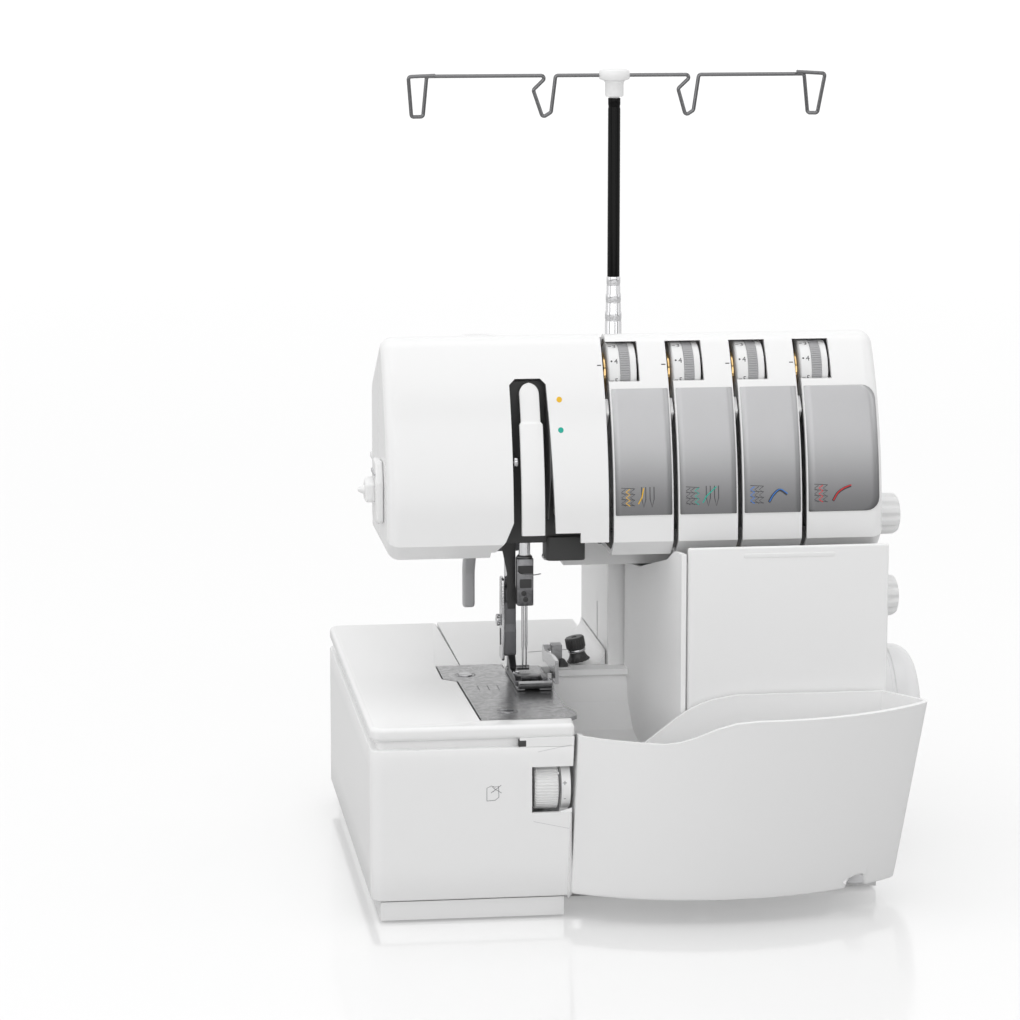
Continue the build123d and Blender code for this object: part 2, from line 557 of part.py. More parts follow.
# ---- drive ----
def handwheel():
    wheel = rod_x(WHEEL_INNER, WHEEL_OUTER, SHAFT_Y, SHAFT_Z, WHEEL_RADIUS)
    wheel = fillet(wheel.edges().sort_by(Axis.X)[-1], 11)
    wheel -= rod_x(WHEEL_INNER - 1, WHEEL_OUTER - 6, SHAFT_Y, SHAFT_Z, WHEEL_RADIUS - 4)
    wheel += rod_x(WHEEL_INNER, WHEEL_OUTER - 3, SHAFT_Y, SHAFT_Z, 10)
    return wheel - rod_x(WHEEL_INNER - 1, 212, SHAFT_Y, SHAFT_Z, SHAFT_RADIUS)


def main_shaft():
    shaft = rod_x(57, 212, SHAFT_Y, SHAFT_Z, SHAFT_RADIUS)
    return shaft + rod_x(PULLEY_X0, PULLEY_X1, SHAFT_Y, SHAFT_Z, BIG_PULLEY)


def belt_outline(grow):
    """Loop round both pulleys, grown outwards."""
    big = rod_x(PULLEY_X0 + 1, PULLEY_X1 - 1, SHAFT_Y, SHAFT_Z, BIG_PULLEY + grow)
    small = rod_x(PULLEY_X0 + 1, PULLEY_X1 - 1, MOTOR_Y, MOTOR_Z, SMALL_PULLEY + grow)
    away = math.atan2(MOTOR_Z - SHAFT_Z, MOTOR_Y - SHAFT_Y)
    spread = math.acos((BIG_PULLEY - SMALL_PULLEY) / math.hypot(MOTOR_Z - SHAFT_Z, MOTOR_Y - SHAFT_Y))
    corners = []
    for y, z, radius, turn in ((SHAFT_Y, SHAFT_Z, BIG_PULLEY, spread), (MOTOR_Y, MOTOR_Z, SMALL_PULLEY, spread),
                               (MOTOR_Y, MOTOR_Z, SMALL_PULLEY, -spread), (SHAFT_Y, SHAFT_Z, BIG_PULLEY, -spread)):
        reach = radius + grow
        corners.append((y + reach * math.cos(away + turn), z + reach * math.sin(away + turn)))
    return big + small + prism(corners, "x", PULLEY_X0 + 1, PULLEY_X1 - 1)


def drive_belt():
    return belt_outline(0.4 + BELT_THICKNESS) - belt_outline(0.4)


def motor():
    can = rod_x(94, 148, MOTOR_Y, MOTOR_Z, MOTOR_RADIUS)
    can += block(100, 142, MOTOR_Y - 18, MOTOR_Y + 18, 10.2, MOTOR_Z - 10)
    return can - rod_x(120, 150, MOTOR_Y, MOTOR_Z, 3 + FIT)


def motor_pulley():
    return rod_x(PULLEY_X0, PULLEY_X1, MOTOR_Y, MOTOR_Z, SMALL_PULLEY) + rod_x(121, PULLEY_X1, MOTOR_Y, MOTOR_Z, 3)


# ---- thread stand ----
def spool_tray():
    tray = block(TRAY_LEFT, TRAY_RIGHT, TRAY_FRONT, TRAY_BACK, TRAY_LOW, TRAY_LOW + TRAY_THICK)
    tray = fillet(tray.edges().filter_by(Axis.Z), 18)
    for x in SPOOL_XS:
        tray += rod_z(TRAY_LOW, TRAY_LOW + 54, x, SPOOL_Y, 4)
    return tray - rod_z(200, 215, MAST_X, MAST_Y, MAST_RADII[0])


def cone_holders():
    holders = []
    for x in SPOOL_XS:
        base = TRAY_LOW + TRAY_THICK + 0.1
        disc = rod_z(base, base + 2, x, SPOOL_Y, 20)
        for turn in (0, 90):
            fin = prism([(-17, base + 1), (17, base + 1), (6, base + 40), (-6, base + 40)], "y", -1, 1)
            disc += Pos(x, SPOOL_Y, 0) * Rot(0, 0, turn) * fin
        disc += rod_z(base, base + 40, x, SPOOL_Y, 6)
        holders.append(disc - rod_z(base - 1, base + 45, x, SPOOL_Y, 4.1))
    return holders


def mast_tube(index):
    low, high = MAST_SPANS[index]
    radius = MAST_RADII[index]
    return rod_z(low, high, MAST_X, MAST_Y, radius) - rod_z(low - 1, high + 1, MAST_X, MAST_Y, radius - MAST_WALL)


def mast_cap():
    cap = rod_z(422, 432, MAST_X, MAST_Y, 5.4) + rod_z(431.5, 437.5, MAST_X, MAST_Y, 9)
    cap -= rod_x(40, 80, MAST_Y, WIRE_Z, WIRE_RADIUS + 0.02)
    return cap + rod_z(412, 423, MAST_X, MAST_Y, MAST_RADII[-1] - MAST_WALL - FIT)


def guide_bar():
    """One wire with an open loop above each spool; the two outer loops turn back on themselves."""
    z = WIRE_Z
    path = [(-44, MAST_Y - 3, z + 0.6), (-59.5, MAST_Y - 3, z), (-57.6, MAST_Y - 1.5, 411), (-50.8, MAST_Y, 411),
            (-48.6, MAST_Y, z), (21.5, MAST_Y, z), (13, MAST_Y, 425.8), (18.5, MAST_Y, 410), (23.4, MAST_Y, 413),
            (26, MAST_Y, z), (106, MAST_Y, z), (97.5, MAST_Y, 426), (102, MAST_Y, 410.5), (106.6, MAST_Y, 413.5),
            (109.6, MAST_Y, z), (171.6, MAST_Y, z), (173.9, MAST_Y, 411.5), (179.4, MAST_Y - 1.5, 411.5),
            (183.4, MAST_Y - 3, z + 0.4), (166.5, MAST_Y - 3, z + 1.4)]
    line = FilletPolyline(path, radius=1.6)
    return sweep(Plane(origin=line @ 0, z_dir=line % 0) * Circle(WIRE_RADIUS), path=line)


# ---- places shared by several pieces ----
NEEDLES = [(NEEDLE_X - 1.1, NEEDLE_Y - 1), (NEEDLE_X + 1.1, NEEDLE_Y + 1)]
CLAMP_SCREWS = [(-9.6, 161.2), (-8.6, 157.0)]
PLATE_SCREWS = [(-39.4, 126.4), (-27.6, 32.7)]
LOOPER_PIVOTS = [(-4.5, 42.0), (-25.0, 40.0)]
FEED_BARS = (-15.2, -2.6)
BEARING_WALLS = (60.0, 154.0)
LIFTER_LUGS = (-49.5, -24.5)
HINGE_LUGS = (76.0, 150.0)
KNOB_FOOT = (28.5, 151.0, 107.4)

NODES = {
    "base_plate": base_plate, "rubber_feet": rubber_feet, "frame_casting": frame_casting,
    "column_housing": column_housing, "head_front_cover": head_front_cover,
    "head_rear_cover": head_rear_cover, "tension_cover": tension_cover, "silver_inlays": silver_inlays,
    "tension_posts": tension_posts, "tension_discs": tension_discs, "take_up_guard": take_up_guard,
    "take_up_lever": take_up_lever, "pressure_dial": pressure_dial, "lamp": lamp,
    "thread_cutter": thread_cutter, "needle_bar": needle_bar, "needle_clamp": needle_clamp,
    "needles": needles, "presser_bar": presser_bar,
    "presser_shank": presser_shank, "presser_foot": presser_foot, "presser_screw": presser_screw,
    "presser_lifter": presser_lifter, "free_arm_cover": free_arm_cover,
    "bed_cover": bed_cover, "stitch_plate": stitch_plate, "plate_screws": plate_screws,
    "feed_dogs": feed_dogs, "lower_knife": lower_knife, "upper_knife": upper_knife,
    "knife_knob": knife_knob, "looper_cover": looper_cover, "cover_rod": cover_rod,
    "waste_chute": waste_chute, "waste_bin": waste_bin, "slide_on_table": slide_on_table,
    "cutting_width_dial": cutting_width_dial, "power_switch": power_switch,
    "power_socket": power_socket, "handwheel": handwheel, "main_shaft": main_shaft,
    "drive_belt": drive_belt, "motor": motor,
    "motor_pulley": motor_pulley, "spool_tray": spool_tray,
    "cone_holders": cone_holders, "mast_cap": mast_cap, "guide_bar": guide_bar,
    "upper_looper": lambda: looper(0), "lower_looper": lambda: looper(1),
    "stitch_length_dial": lambda: side_dial(LENGTH_DIAL_Z),
    "differential_feed_dial": lambda: side_dial(FEED_DIAL_Z),
}

os.makedirs("parts", exist_ok=True)
made = {name: build() for name, build in NODES.items()}
for number, slot_x in enumerate(SLOTS, start=1):
    made[f"tension_dial_{number}"] = tension_dial(slot_x)
for number in range(len(MAST_SPANS)):
    made[f"mast_tube_{number + 1}"] = mast_tube(number)
for name, shape in made.items():
    pieces = [piece for item in (shape if isinstance(shape, list) else [shape]) for piece in item.solids()]
    pieces = [Pos(-ORIGIN[0], -ORIGIN[1], -ORIGIN[2]) * piece for piece in pieces]
    export_step(pieces[0] if len(pieces) == 1 else Compound(children=pieces), f"parts/{name}.step")
    print(name, len(pieces), round(sum(piece.volume for piece in pieces) / 1000, 2), "cm3")
print("nodes", len(made), "origin", ORIGIN)
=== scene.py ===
"""Overlock sewing machine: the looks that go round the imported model.

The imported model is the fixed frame. Its own nodes keep their places and get a finish here, and
new pieces stand for the nodes whose shape needs more than the frame holds.
"""

import json
import logging
import math
from dataclasses import dataclass, field
from enum import Enum
from typing import Callable, Sequence

import bmesh
import bpy
import numpy as np
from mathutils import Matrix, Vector


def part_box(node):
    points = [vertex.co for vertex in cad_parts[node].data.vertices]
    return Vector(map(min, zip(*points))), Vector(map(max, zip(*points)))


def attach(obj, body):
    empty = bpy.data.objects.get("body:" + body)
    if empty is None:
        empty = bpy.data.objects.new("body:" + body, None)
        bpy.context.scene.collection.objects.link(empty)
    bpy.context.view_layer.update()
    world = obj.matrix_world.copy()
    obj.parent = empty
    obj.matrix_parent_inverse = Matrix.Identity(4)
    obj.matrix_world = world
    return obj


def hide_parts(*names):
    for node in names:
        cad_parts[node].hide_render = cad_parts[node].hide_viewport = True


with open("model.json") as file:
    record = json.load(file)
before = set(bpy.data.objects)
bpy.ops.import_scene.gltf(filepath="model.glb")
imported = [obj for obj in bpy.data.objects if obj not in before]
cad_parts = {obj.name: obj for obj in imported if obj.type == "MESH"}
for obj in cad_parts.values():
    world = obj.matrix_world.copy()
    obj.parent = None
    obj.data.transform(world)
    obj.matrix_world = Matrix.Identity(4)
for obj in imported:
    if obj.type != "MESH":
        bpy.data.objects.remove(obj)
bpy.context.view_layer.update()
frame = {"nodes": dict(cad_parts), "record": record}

log = logging.getLogger("machine")
Point = tuple[float, float, float]
Pair = tuple[float, float]
Colour = tuple[float, float, float]
MM = 0.001
FRONT: Point = (0.0, -1.0, 0.0)
RIGHT: Point = (1.0, 0.0, 0.0)


# ---------------------------------------------------------------- the frame's axes
@dataclass(frozen=True)
class Datum:
    """Where the maker's axes lie: x is 0 beside the needles, y is 0 at the table's front and z is 0 on
    the floor."""

    x: float
    y: float

    @classmethod
    def from_frame(cls) -> "Datum":
        """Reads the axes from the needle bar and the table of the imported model."""
        low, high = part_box("needle_bar")
        return cls((low.x + high.x) / 2 / MM + 8.3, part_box("slide_on_table")[0].y / MM)


DATUM = Datum.from_frame()


def to_frame(points: np.ndarray) -> np.ndarray:
    """Maker's millimetres to the frame's metres: each point is shifted by the datum, then scaled.

    Args:
        points: any array whose last axis is x, y, z.

    Returns:
        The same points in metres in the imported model's frame.
    """
    return (np.asarray(points, float) + np.array([DATUM.x, DATUM.y, 0.0])) * MM


@dataclass(frozen=True)
class Box:
    """A node's box in the maker's millimetres."""

    low: np.ndarray
    high: np.ndarray

    @classmethod
    def of(cls, name: str) -> "Box":
        """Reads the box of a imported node."""
        low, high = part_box(name)
        shift = np.array([DATUM.x, DATUM.y, 0.0])
        return cls(np.array(low) / MM - shift, np.array(high) / MM - shift)

    @property
    def mid(self) -> np.ndarray:
        """The middle of the box."""
        return (self.low + self.high) / 2


# ---------------------------------------------------------------- meshes
class Axis(Enum):
    """The direction along which a profile is carried or round which it turns."""

    X = 0
    Y = 1
    Z = 2

    def place(self, along: np.ndarray, a: np.ndarray, b: np.ndarray) -> np.ndarray:
        """Points at a distance along this axis, with the two other coordinates in order.

        Args:
            along: distance along the axis.
            a: the first of the other coordinates.
            b: the second of the other coordinates.

        Returns:
            An array whose last axis is x, y, z.
        """
        along, a, b = np.broadcast_arrays(along, a, b)
        order = {0: (along, a, b), 1: (a, along, b), 2: (a, b, along)}[self.value]
        return np.stack(order, axis=-1).astype(float)


def quads(rows: int, columns: int, wrap_rows: bool = False, wrap_columns: bool = False) -> np.ndarray:
    """Faces of a grid of points: corner (i, j) joins (i, j+1), (i+1, j+1) and (i+1, j).

    Args:
        rows: how many rows of points.
        columns: how many points in a row.
        wrap_rows: whether the last row joins the first.
        wrap_columns: whether the last point of a row joins its first.

    Returns:
        An array of four point numbers for each face.
    """
    i, j = np.meshgrid(
        np.arange(rows if wrap_rows else rows - 1),
        np.arange(columns if wrap_columns else columns - 1), indexing="ij")
    below, beside = (i + 1) % rows, (j + 1) % columns
    corners = (i * columns + j, i * columns + beside, below * columns + beside, below * columns + j)
    return np.stack(corners, axis=-1).reshape(-1, 4)


def capped(rings: int, count: int) -> list[list[int]]:
    """Faces of a tube of rings of count points, with a flat face on its first and its last ring."""
    sides = quads(rings, count, wrap_columns=True).tolist()
    return [*sides, list(range(count)), list(range((rings - 1) * count, rings * count))]


def unit(rows: np.ndarray) -> np.ndarray:
    """Each row over its length."""
    return rows / np.linalg.norm(rows, axis=1, keepdims=True)


def linked(name: str, data: bpy.types.ID) -> bpy.types.Object:
    """New object of the scene that holds the data."""
    made = bpy.data.objects.new(name, data)
    bpy.context.scene.collection.objects.link(made)
    return made


def new_piece(name: str, points: np.ndarray, faces: Sequence, crease: float = 32.0) -> bpy.types.Object:
    """Makes an object whose place is in its mesh, with doubles merged and faces turned outwards.

    Args:
        name: the piece's name.
        points: its points in the maker's millimetres.
        faces: point numbers of each face.
        crease: edges that turn by more than this many degrees stay sharp.

    Returns:
        The object, at the origin, unturned and unscaled.
    """
    mesh = bpy.data.meshes.new(name)
    mesh.from_pydata(to_frame(points).reshape(-1, 3), [], [list(map(int, face)) for face in faces])
    shape = bmesh.new()
    shape.from_mesh(mesh)
    bmesh.ops.remove_doubles(shape, verts=shape.verts, dist=1e-6)
    bmesh.ops.dissolve_degenerate(shape, edges=shape.edges, dist=1e-7)
    bmesh.ops.recalc_face_normals(shape, faces=shape.faces)
    shape.to_mesh(mesh)
    shape.free()
    mesh.polygons.foreach_set("use_smooth", np.ones(len(mesh.polygons), bool))
    mesh.set_sharp_from_angle(angle=math.radians(crease))
    return linked(name, mesh)


def joined(name: str, parts: Sequence[bpy.types.Object]) -> bpy.types.Object:
    """Joins the meshes of several new pieces into one piece, keeping the first one's material slots first.

    Args:
        name: the joined piece's name.
        parts: the pieces, which are used up.

    Returns:
        The joined piece.
    """
    whole = bmesh.new()
    materials: list[bpy.types.Material] = []
    for part in parts:
        count = len(whole.faces)
        whole.from_mesh(part.data)
        whole.faces.ensure_lookup_table()
        own = list(part.data.materials)
        for material in own:
            if material not in materials:
                materials.append(material)
        for face in whole.faces[count:]:
            if own:
                face.material_index = materials.index(own[min(face.material_index, len(own) - 1)])
    mesh = bpy.data.meshes.new(name)
    whole.to_mesh(mesh)
    whole.free()
    for material in materials:
        mesh.materials.append(material)
    for part in parts:
        bpy.data.objects.remove(part)
    return linked(name, mesh)


def rounded(points: Sequence[Pair], radii: Sequence[float] | float, steps: int = 5) -> np.ndarray:
    """Closed outline whose corners are arcs: each corner is swept from one tangent point to the other
    on a circle of its radius that touches both sides.

    Args:
        points: the corners in order.
        radii: one radius for all corners, or one for each.
        steps: how many points an arc has.

    Returns:
        The outline's points, one row each.
    """
    corners = np.asarray(points, float)
    sizes = np.broadcast_to(np.asarray(radii, float), len(corners))
    before, after = unit(np.roll(corners, 1, 0) - corners), unit(np.roll(corners, -1, 0) - corners)
    outline: list[np.ndarray] = []
    for corner, a, b, size in zip(corners, before, after, sizes):
        half = math.acos(float(np.clip(a @ b, -1, 1))) / 2
        if size < 1e-6 or half > math.radians(89.5):
            outline.append(corner[None])
            continue
        reach = size / math.tan(half)
        centre = corner + (a + b) / np.linalg.norm(a + b) * size / math.sin(half)
        start, end = corner + a * reach - centre, corner + b * reach - centre
        t = np.linspace(0, 1, steps)[:, None]
        turn = math.acos(float(np.clip(start @ end / size**2, -1, 1)))
        arc = (np.sin((1 - t) * turn) * start + np.sin(t * turn) * end) / math.sin(turn)
        outline.append(centre + arc)
    return np.concatenate(outline)


def oblong(low: Pair, high: Pair, radii: Sequence[float] | float, steps: int = 5) -> np.ndarray:
    """Rounded rectangle: its corners go from low along the first coordinate, then round to the second.

    Args:
        low: its low corner.
        high: its high corner.
        radii: one radius for all corners, or one for each.
        steps: how many points an arc has.

    Returns:
        The outline's points, one row each.
    """
    return rounded([low, (high[0], low[1]), high, (low[0], high[1])], radii, steps)


def inset(outline: np.ndarray, distance: np.ndarray | float) -> np.ndarray:
    """Moves each point of a closed outline inwards along the mean of its two side normals, by the
    distance over the cosine of half the turn, so that the sides move by that distance.

    Args:
        outline: the closed outline's points.
        distance: how far the sides move inwards.

    Returns:
        The moved outline.
    """
    ahead = unit(np.roll(outline, -1, 0) - outline)
    normal = np.stack([-ahead[:, 1], ahead[:, 0]], 1)
    x, y = outline.T
    if np.sum(x * np.roll(y, -1) - y * np.roll(x, -1)) < 0:
        normal = -normal
    mean = unit(normal + np.roll(normal, 1, 0))
    stretch = 1 / np.maximum(np.sum(mean * normal, axis=1), 0.4)
    return outline + mean * (stretch * distance)[:, None]


def slab(name: str, outline: np.ndarray, axis: Axis, start: float, end: float,
         rim: np.ndarray | float = 0.5, steps: int = 3) -> bpy.types.Object:
    """Plate of any outline with rounded rims: at a quarter-turn angle t of the rim the outline is inset
    by rim * (1 - sin t) and lies rim * (1 - cos t) from the end face, and each end is one flat face.

    Args:
        name: the piece's name.
        outline: closed outline in the two other coordinates.
        axis: the direction of its thickness.
        start: where it starts along the axis.
        end: where it ends along the axis.
        rim: radius of the rims, for the whole outline or for each of its points.
        steps: how many steps a rim has.

    Returns:
        The new piece.
    """
    angle = np.linspace(0, math.pi / 2, steps + 1)
    rim = np.broadcast_to(np.asarray(rim, float), len(outline))
    rings = [axis.place(start + rim * (1 - math.cos(t)), *inset(outline, rim * (1 - math.sin(t))).T)
             for t in angle]
    rings += [axis.place(end - rim * (1 - math.cos(t)), *inset(outline, rim * (1 - math.sin(t))).T)
              for t in angle[::-1]]
    return new_piece(name, np.concatenate(rings), capped(len(rings), len(outline)))


def lathe(name: str, profile: Sequence[Pair], axis: Axis, centre: Pair, steps: int = 64,
          wave: Callable[[np.ndarray, np.ndarray], np.ndarray] | None = None) -> bpy.types.Object:
    """Turned piece: point (along, radius) of the profile goes round the axis at every angle, and wave
    may change its radius there. A profile that starts on the axis ends on it or stays open; in any other
    the last point joins the first.

    Args:
        name: the piece's name.
        profile: pairs of distance along the axis and radius.
        axis: the axis that it turns round.
        centre: the two other coordinates of the axis.
        steps: points in a turn.
        wave: gives the factor on the radius from the angle and the number of the profile's point.

    Returns:
        The new piece.
    """
    line = np.asarray(profile, float)
    turn = np.linspace(0, 2 * math.pi, steps, endpoint=False)
    radius = np.repeat(line[:, 1:2], steps, axis=1)
    if wave is not None:
        radius = radius * wave(turn[None, :], np.arange(len(line))[:, None])
    points = axis.place(line[:, 0:1], centre[0] + radius * np.cos(turn), centre[1] + radius * np.sin(turn))
    closed = line[0, 1] > 1e-6
    return new_piece(name, points.reshape(-1, 3), quads(len(line), steps, closed, True))


def smooth_path(points: Sequence[Point], per_span: int = 8) -> np.ndarray:
    """Smooth line through the points: on each span it is the Catmull-Rom cubic of the four nearest points.

    Args:
        points: the points to pass through.
        per_span: how many points each span gets.

    Returns:
        Points along the line.
    """
    p = np.asarray(points, float)
    p = np.concatenate([2 * p[:1] - p[1:2], p, 2 * p[-1:] - p[-2:-1]])
    t = np.linspace(0, 1, per_span, endpoint=False)[:, None]
    spans = [0.5 * (2 * b + (c - a) * t + (2 * a - 5 * b + 4 * c - d) * t**2 + (3 * b - a - 3 * c + d) * t**3)
             for a, b, c, d in zip(p[:-3], p[1:-2], p[2:-1], p[3:])]
    return np.concatenate([*spans, p[-2:-1]])


def carried(name: str, path: np.ndarray, section: np.ndarray, sizes: np.ndarray | float = 1.0,
            up: Point = (0.0, 0.0, 1.0)) -> bpy.types.Object:
    """Section carried along a path: at each point its first coordinate goes sideways, across the path and
    up, its second goes along their cross product, and both are scaled by that point's size.

    Args:
        name: the piece's name.
        path: points of the path.
        section: closed section, one row for each point.
        sizes: one scale, or one for each point of the path.
        up: a direction that the path never runs along.

    Returns:
        The new piece, with both ends closed.
    """
    path = np.asarray(path, float)
    ahead = unit(np.gradient(path, axis=0))
    side = unit(np.cross(ahead, np.array(up, float)))
    over = np.cross(side, ahead)
    scale = np.broadcast_to(np.asarray(sizes, float), len(path))[:, None, None]
    spread = section[None, :, 0:1] * side[:, None] + section[None, :, 1:2] * over[:, None]
    rings = path[:, None] + scale * spread
    return new_piece(name, rings.reshape(-1, 3), capped(len(path), len(section)))


def circle(radius: float, steps: int = 16) -> np.ndarray:
    """Round section: (r cos t, r sin t) for a full turn of t."""
    turn = np.linspace(0, 2 * math.pi, steps, endpoint=False)
    return radius * np.stack([np.cos(turn), np.sin(turn)], 1)


def flat(width: float, height: float) -> np.ndarray:
    """Section of a strip: half its width lies on each side of the path, and its height stands on it."""
    half = width / 2
    return np.array([(-half, 0), (half, 0), (half, height), (-half, height)])


def wire(name: str, points: Sequence[Point], radius: float, up: Point = (0.0, 0.0, 1.0),
         per_span: int = 8, steps: int = 10) -> bpy.types.Object:
    """Round wire on a smooth line through the points, rounded off at both ends: its radius there goes
    down as a quarter circle.

    Args:
        name: the piece's name.
        points: the points to pass through.
        radius: the wire's radius.
        up: a direction that the wire never runs along.
        per_span: points on each span.
        steps: points round the wire.

    Returns:
        The new piece.
    """
    path = smooth_path(points, per_span)
    run = np.concatenate([[0], np.cumsum(np.linalg.norm(np.diff(path, axis=0), axis=1))])
    near = np.minimum(np.minimum(run, run[-1] - run) / radius, 1.0)
    sizes = np.sqrt(np.maximum(1 - (1 - near) ** 2, 0.04))
    return carried(name, path, circle(radius, steps), sizes, up)


# ---------------------------------------------------------------- shader effects
def add_node(tree: bpy.types.NodeTree, kind: str, inputs: dict | None = None,
             **settings: object) -> bpy.types.Node:
    """Adds a node, sets its properties, and links or sets its inputs.

    Args:
        tree: the node tree.
        kind: the node's type name.
        inputs: for each input's name or number, a socket to link or a value to set.
        **settings: the node's properties.

    Returns:
        The node.
    """
    made = tree.nodes.new(kind)
    for key, value in settings.items():
        setattr(made, key, value)
    for key, value in (inputs or {}).items():
        if isinstance(value, bpy.types.NodeSocket):
            tree.links.new(value, made.inputs[key])
        else:
            made.inputs[key].default_value = value
    return made


def new_group(name: str, inputs: dict[str, tuple[str, object]], outputs: dict[str, str]) -> tuple:
    """Makes a shader node group with named sockets.

    Args:
        name: the group's name.
        inputs: for each input its socket kind and default.
        outputs: for each output its socket kind.

    Returns:
        The group, the node that holds its inputs and the node that takes its outputs.
    """
    group = bpy.data.node_groups.new(name, "ShaderNodeTree")
    for key, (kind, default) in inputs.items():
        socket = group.interface.new_socket(key, in_out="INPUT", socket_type=f"NodeSocket{kind}")
        if default is not None:
            socket.default_value = default
    for key, kind in outputs.items():
        group.interface.new_socket(key, in_out="OUTPUT", socket_type=f"NodeSocket{kind}")
    return group, group.nodes.new("NodeGroupInput"), group.nodes.new("NodeGroupOutput")


def math_node(tree: bpy.types.NodeTree, operation: str, *values: object) -> bpy.types.NodeSocket:
    """One arithmetic step; gives its output socket."""
    return add_node(tree, "ShaderNodeMath", dict(enumerate(values)), operation=operation).outputs[0]


def moulded_grain() -> bpy.types.NodeTree:
    """Height of a moulded skin: fine noise, plus the broad waviness of a cooled moulding."""
    group, inward, outward = new_group(
        "moulded_grain", {"Vector": ("Vector", None), "Scale": ("Float", 900.0), "Waviness": ("Float", 0.3)},
        {"Height": "Float"})
    fine = add_node(group, "ShaderNodeTexNoise", {"Vector": inward.outputs["Vector"],
            "Scale": inward.outputs["Scale"], "Detail": 2.0, "Roughness": 0.6})
    broad = add_node(group, "ShaderNodeTexNoise", {"Vector": inward.outputs["Vector"], "Scale": 9.0,
            "Detail": 1.0})
    swell = math_node(group, "MULTIPLY", broad.outputs["Fac"], inward.outputs["Waviness"])
    group.links.new(math_node(group, "ADD", fine.outputs["Fac"], swell), outward.inputs["Height"])
    return group


def drawn_grain() -> bpy.types.NodeTree:
    """Height of a brushed or turned surface: noise that the Stretch vector draws out along the brushing
    direction."""
    group, inward, outward = new_group("drawn_grain", {"Vector": ("Vector", None),
            "Stretch": ("Vector", (1.0, 1.0, 1.0)), "Scale": ("Float", 300.0)}, {"Height": "Float"})
    drawn = add_node(group, "ShaderNodeVectorMath", {0: inward.outputs["Vector"],
            1: inward.outputs["Stretch"]}, operation="MULTIPLY")
    lines = add_node(group, "ShaderNodeTexNoise", {"Vector": drawn.outputs[0],
            "Scale": inward.outputs["Scale"], "Detail": 3.0, "Roughness": 0.7})
    group.links.new(lines.outputs["Fac"], outward.inputs["Height"])
    return group


def tone_variation() -> bpy.types.NodeTree:
    """Colour that drifts a little in lightness: the base times 1 + amount * (noise - 0.5)."""
    group, inward, outward = new_group(
        "tone_variation", {"Vector": ("Vector", None), "Color": ("Color", (0.8, 0.8, 0.8, 1.0)),
                           "Amount": ("Float", 0.05), "Scale": ("Float", 14.0)}, {"Color": "Color"})
    noise = add_node(group, "ShaderNodeTexNoise", {"Vector": inward.outputs["Vector"],
            "Scale": inward.outputs["Scale"], "Detail": 4.0})
    centred = math_node(group, "SUBTRACT", noise.outputs["Fac"], 0.5)
    factor = math_node(group, "MULTIPLY_ADD", centred, inward.outputs["Amount"], 1.0)
    scaled = add_node(group, "ShaderNodeVectorMath", {0: inward.outputs["Color"], "Scale": factor},
                      operation="SCALE")
    group.links.new(scaled.outputs[0], outward.inputs["Color"])
    return group


def edge_wear() -> bpy.types.NodeTree:
    """Mask of rubbed edges: where the surface turns sharply outwards, broken up by noise."""
    group, inward, outward = new_group(
        "edge_wear", {"Vector": ("Vector", None), "Amount": ("Float", 0.5)}, {"Mask": "Float"})
    shape = add_node(group, "ShaderNodeNewGeometry")
    sharp = add_node(group, "ShaderNodeMapRange", {"Value": shape.outputs["Pointiness"], 1: 0.52, 2: 0.6})
    noise = add_node(group, "ShaderNodeTexNoise", {"Vector": inward.outputs["Vector"], "Scale": 420.0,
            "Detail": 3.0})
    broken = add_node(group, "ShaderNodeMapRange", {"Value": noise.outputs["Fac"], 1: 0.35, 2: 0.65})
    both = math_node(group, "MULTIPLY", sharp.outputs[0], broken.outputs[0])
    group.links.new(math_node(group, "MULTIPLY", both, inward.outputs["Amount"]), outward.inputs["Mask"])
    return group


def handling_marks() -> bpy.types.NodeTree:
    """Roughness with the faint smears of handling: the base plus amount * (smooth noise - 0.5)."""
    group, inward, outward = new_group(
        "handling_marks", {"Vector": ("Vector", None), "Base": ("Float", 0.3), "Amount": ("Float", 0.1)},
        {"Roughness": "Float"})
    noise = add_node(group, "ShaderNodeTexNoise", {"Vector": inward.outputs["Vector"], "Scale": 26.0,
            "Detail": 5.0, "Distortion": 0.6})
    centred = math_node(group, "SUBTRACT", noise.outputs["Fac"], 0.5)
    group.links.new(math_node(group, "MULTIPLY_ADD", centred, inward.outputs["Amount"],
            inward.outputs["Base"]), outward.inputs["Roughness"])
    return group


class Effect(Enum):
    """The shader effects that materials share; each is built once."""

    GRAIN = "moulded_grain"
    DRAWN = "drawn_grain"
    TONE = "tone_variation"
    WEAR = "edge_wear"
    MARKS = "handling_marks"

    def put(self, tree: bpy.types.NodeTree, inputs: dict) -> bpy.types.Node:
        """Places this effect's group in a material with its own values."""
        makers = (moulded_grain, drawn_grain, tone_variation, edge_wear, handling_marks)
        builders = {maker.__name__: maker for maker in makers}
        group = bpy.data.node_groups.get(self.value) or builders[self.value]()
        return add_node(tree, "ShaderNodeGroup", inputs, node_tree=group)


class Brushing(Enum):
    """The direction along which a metal's grain is drawn; the numbers stretch the pattern along it."""

    NONE = None
    ALONG_X = (0.03, 1.0, 1.0)
    ALONG_Y = (1.0, 0.03, 1.0)


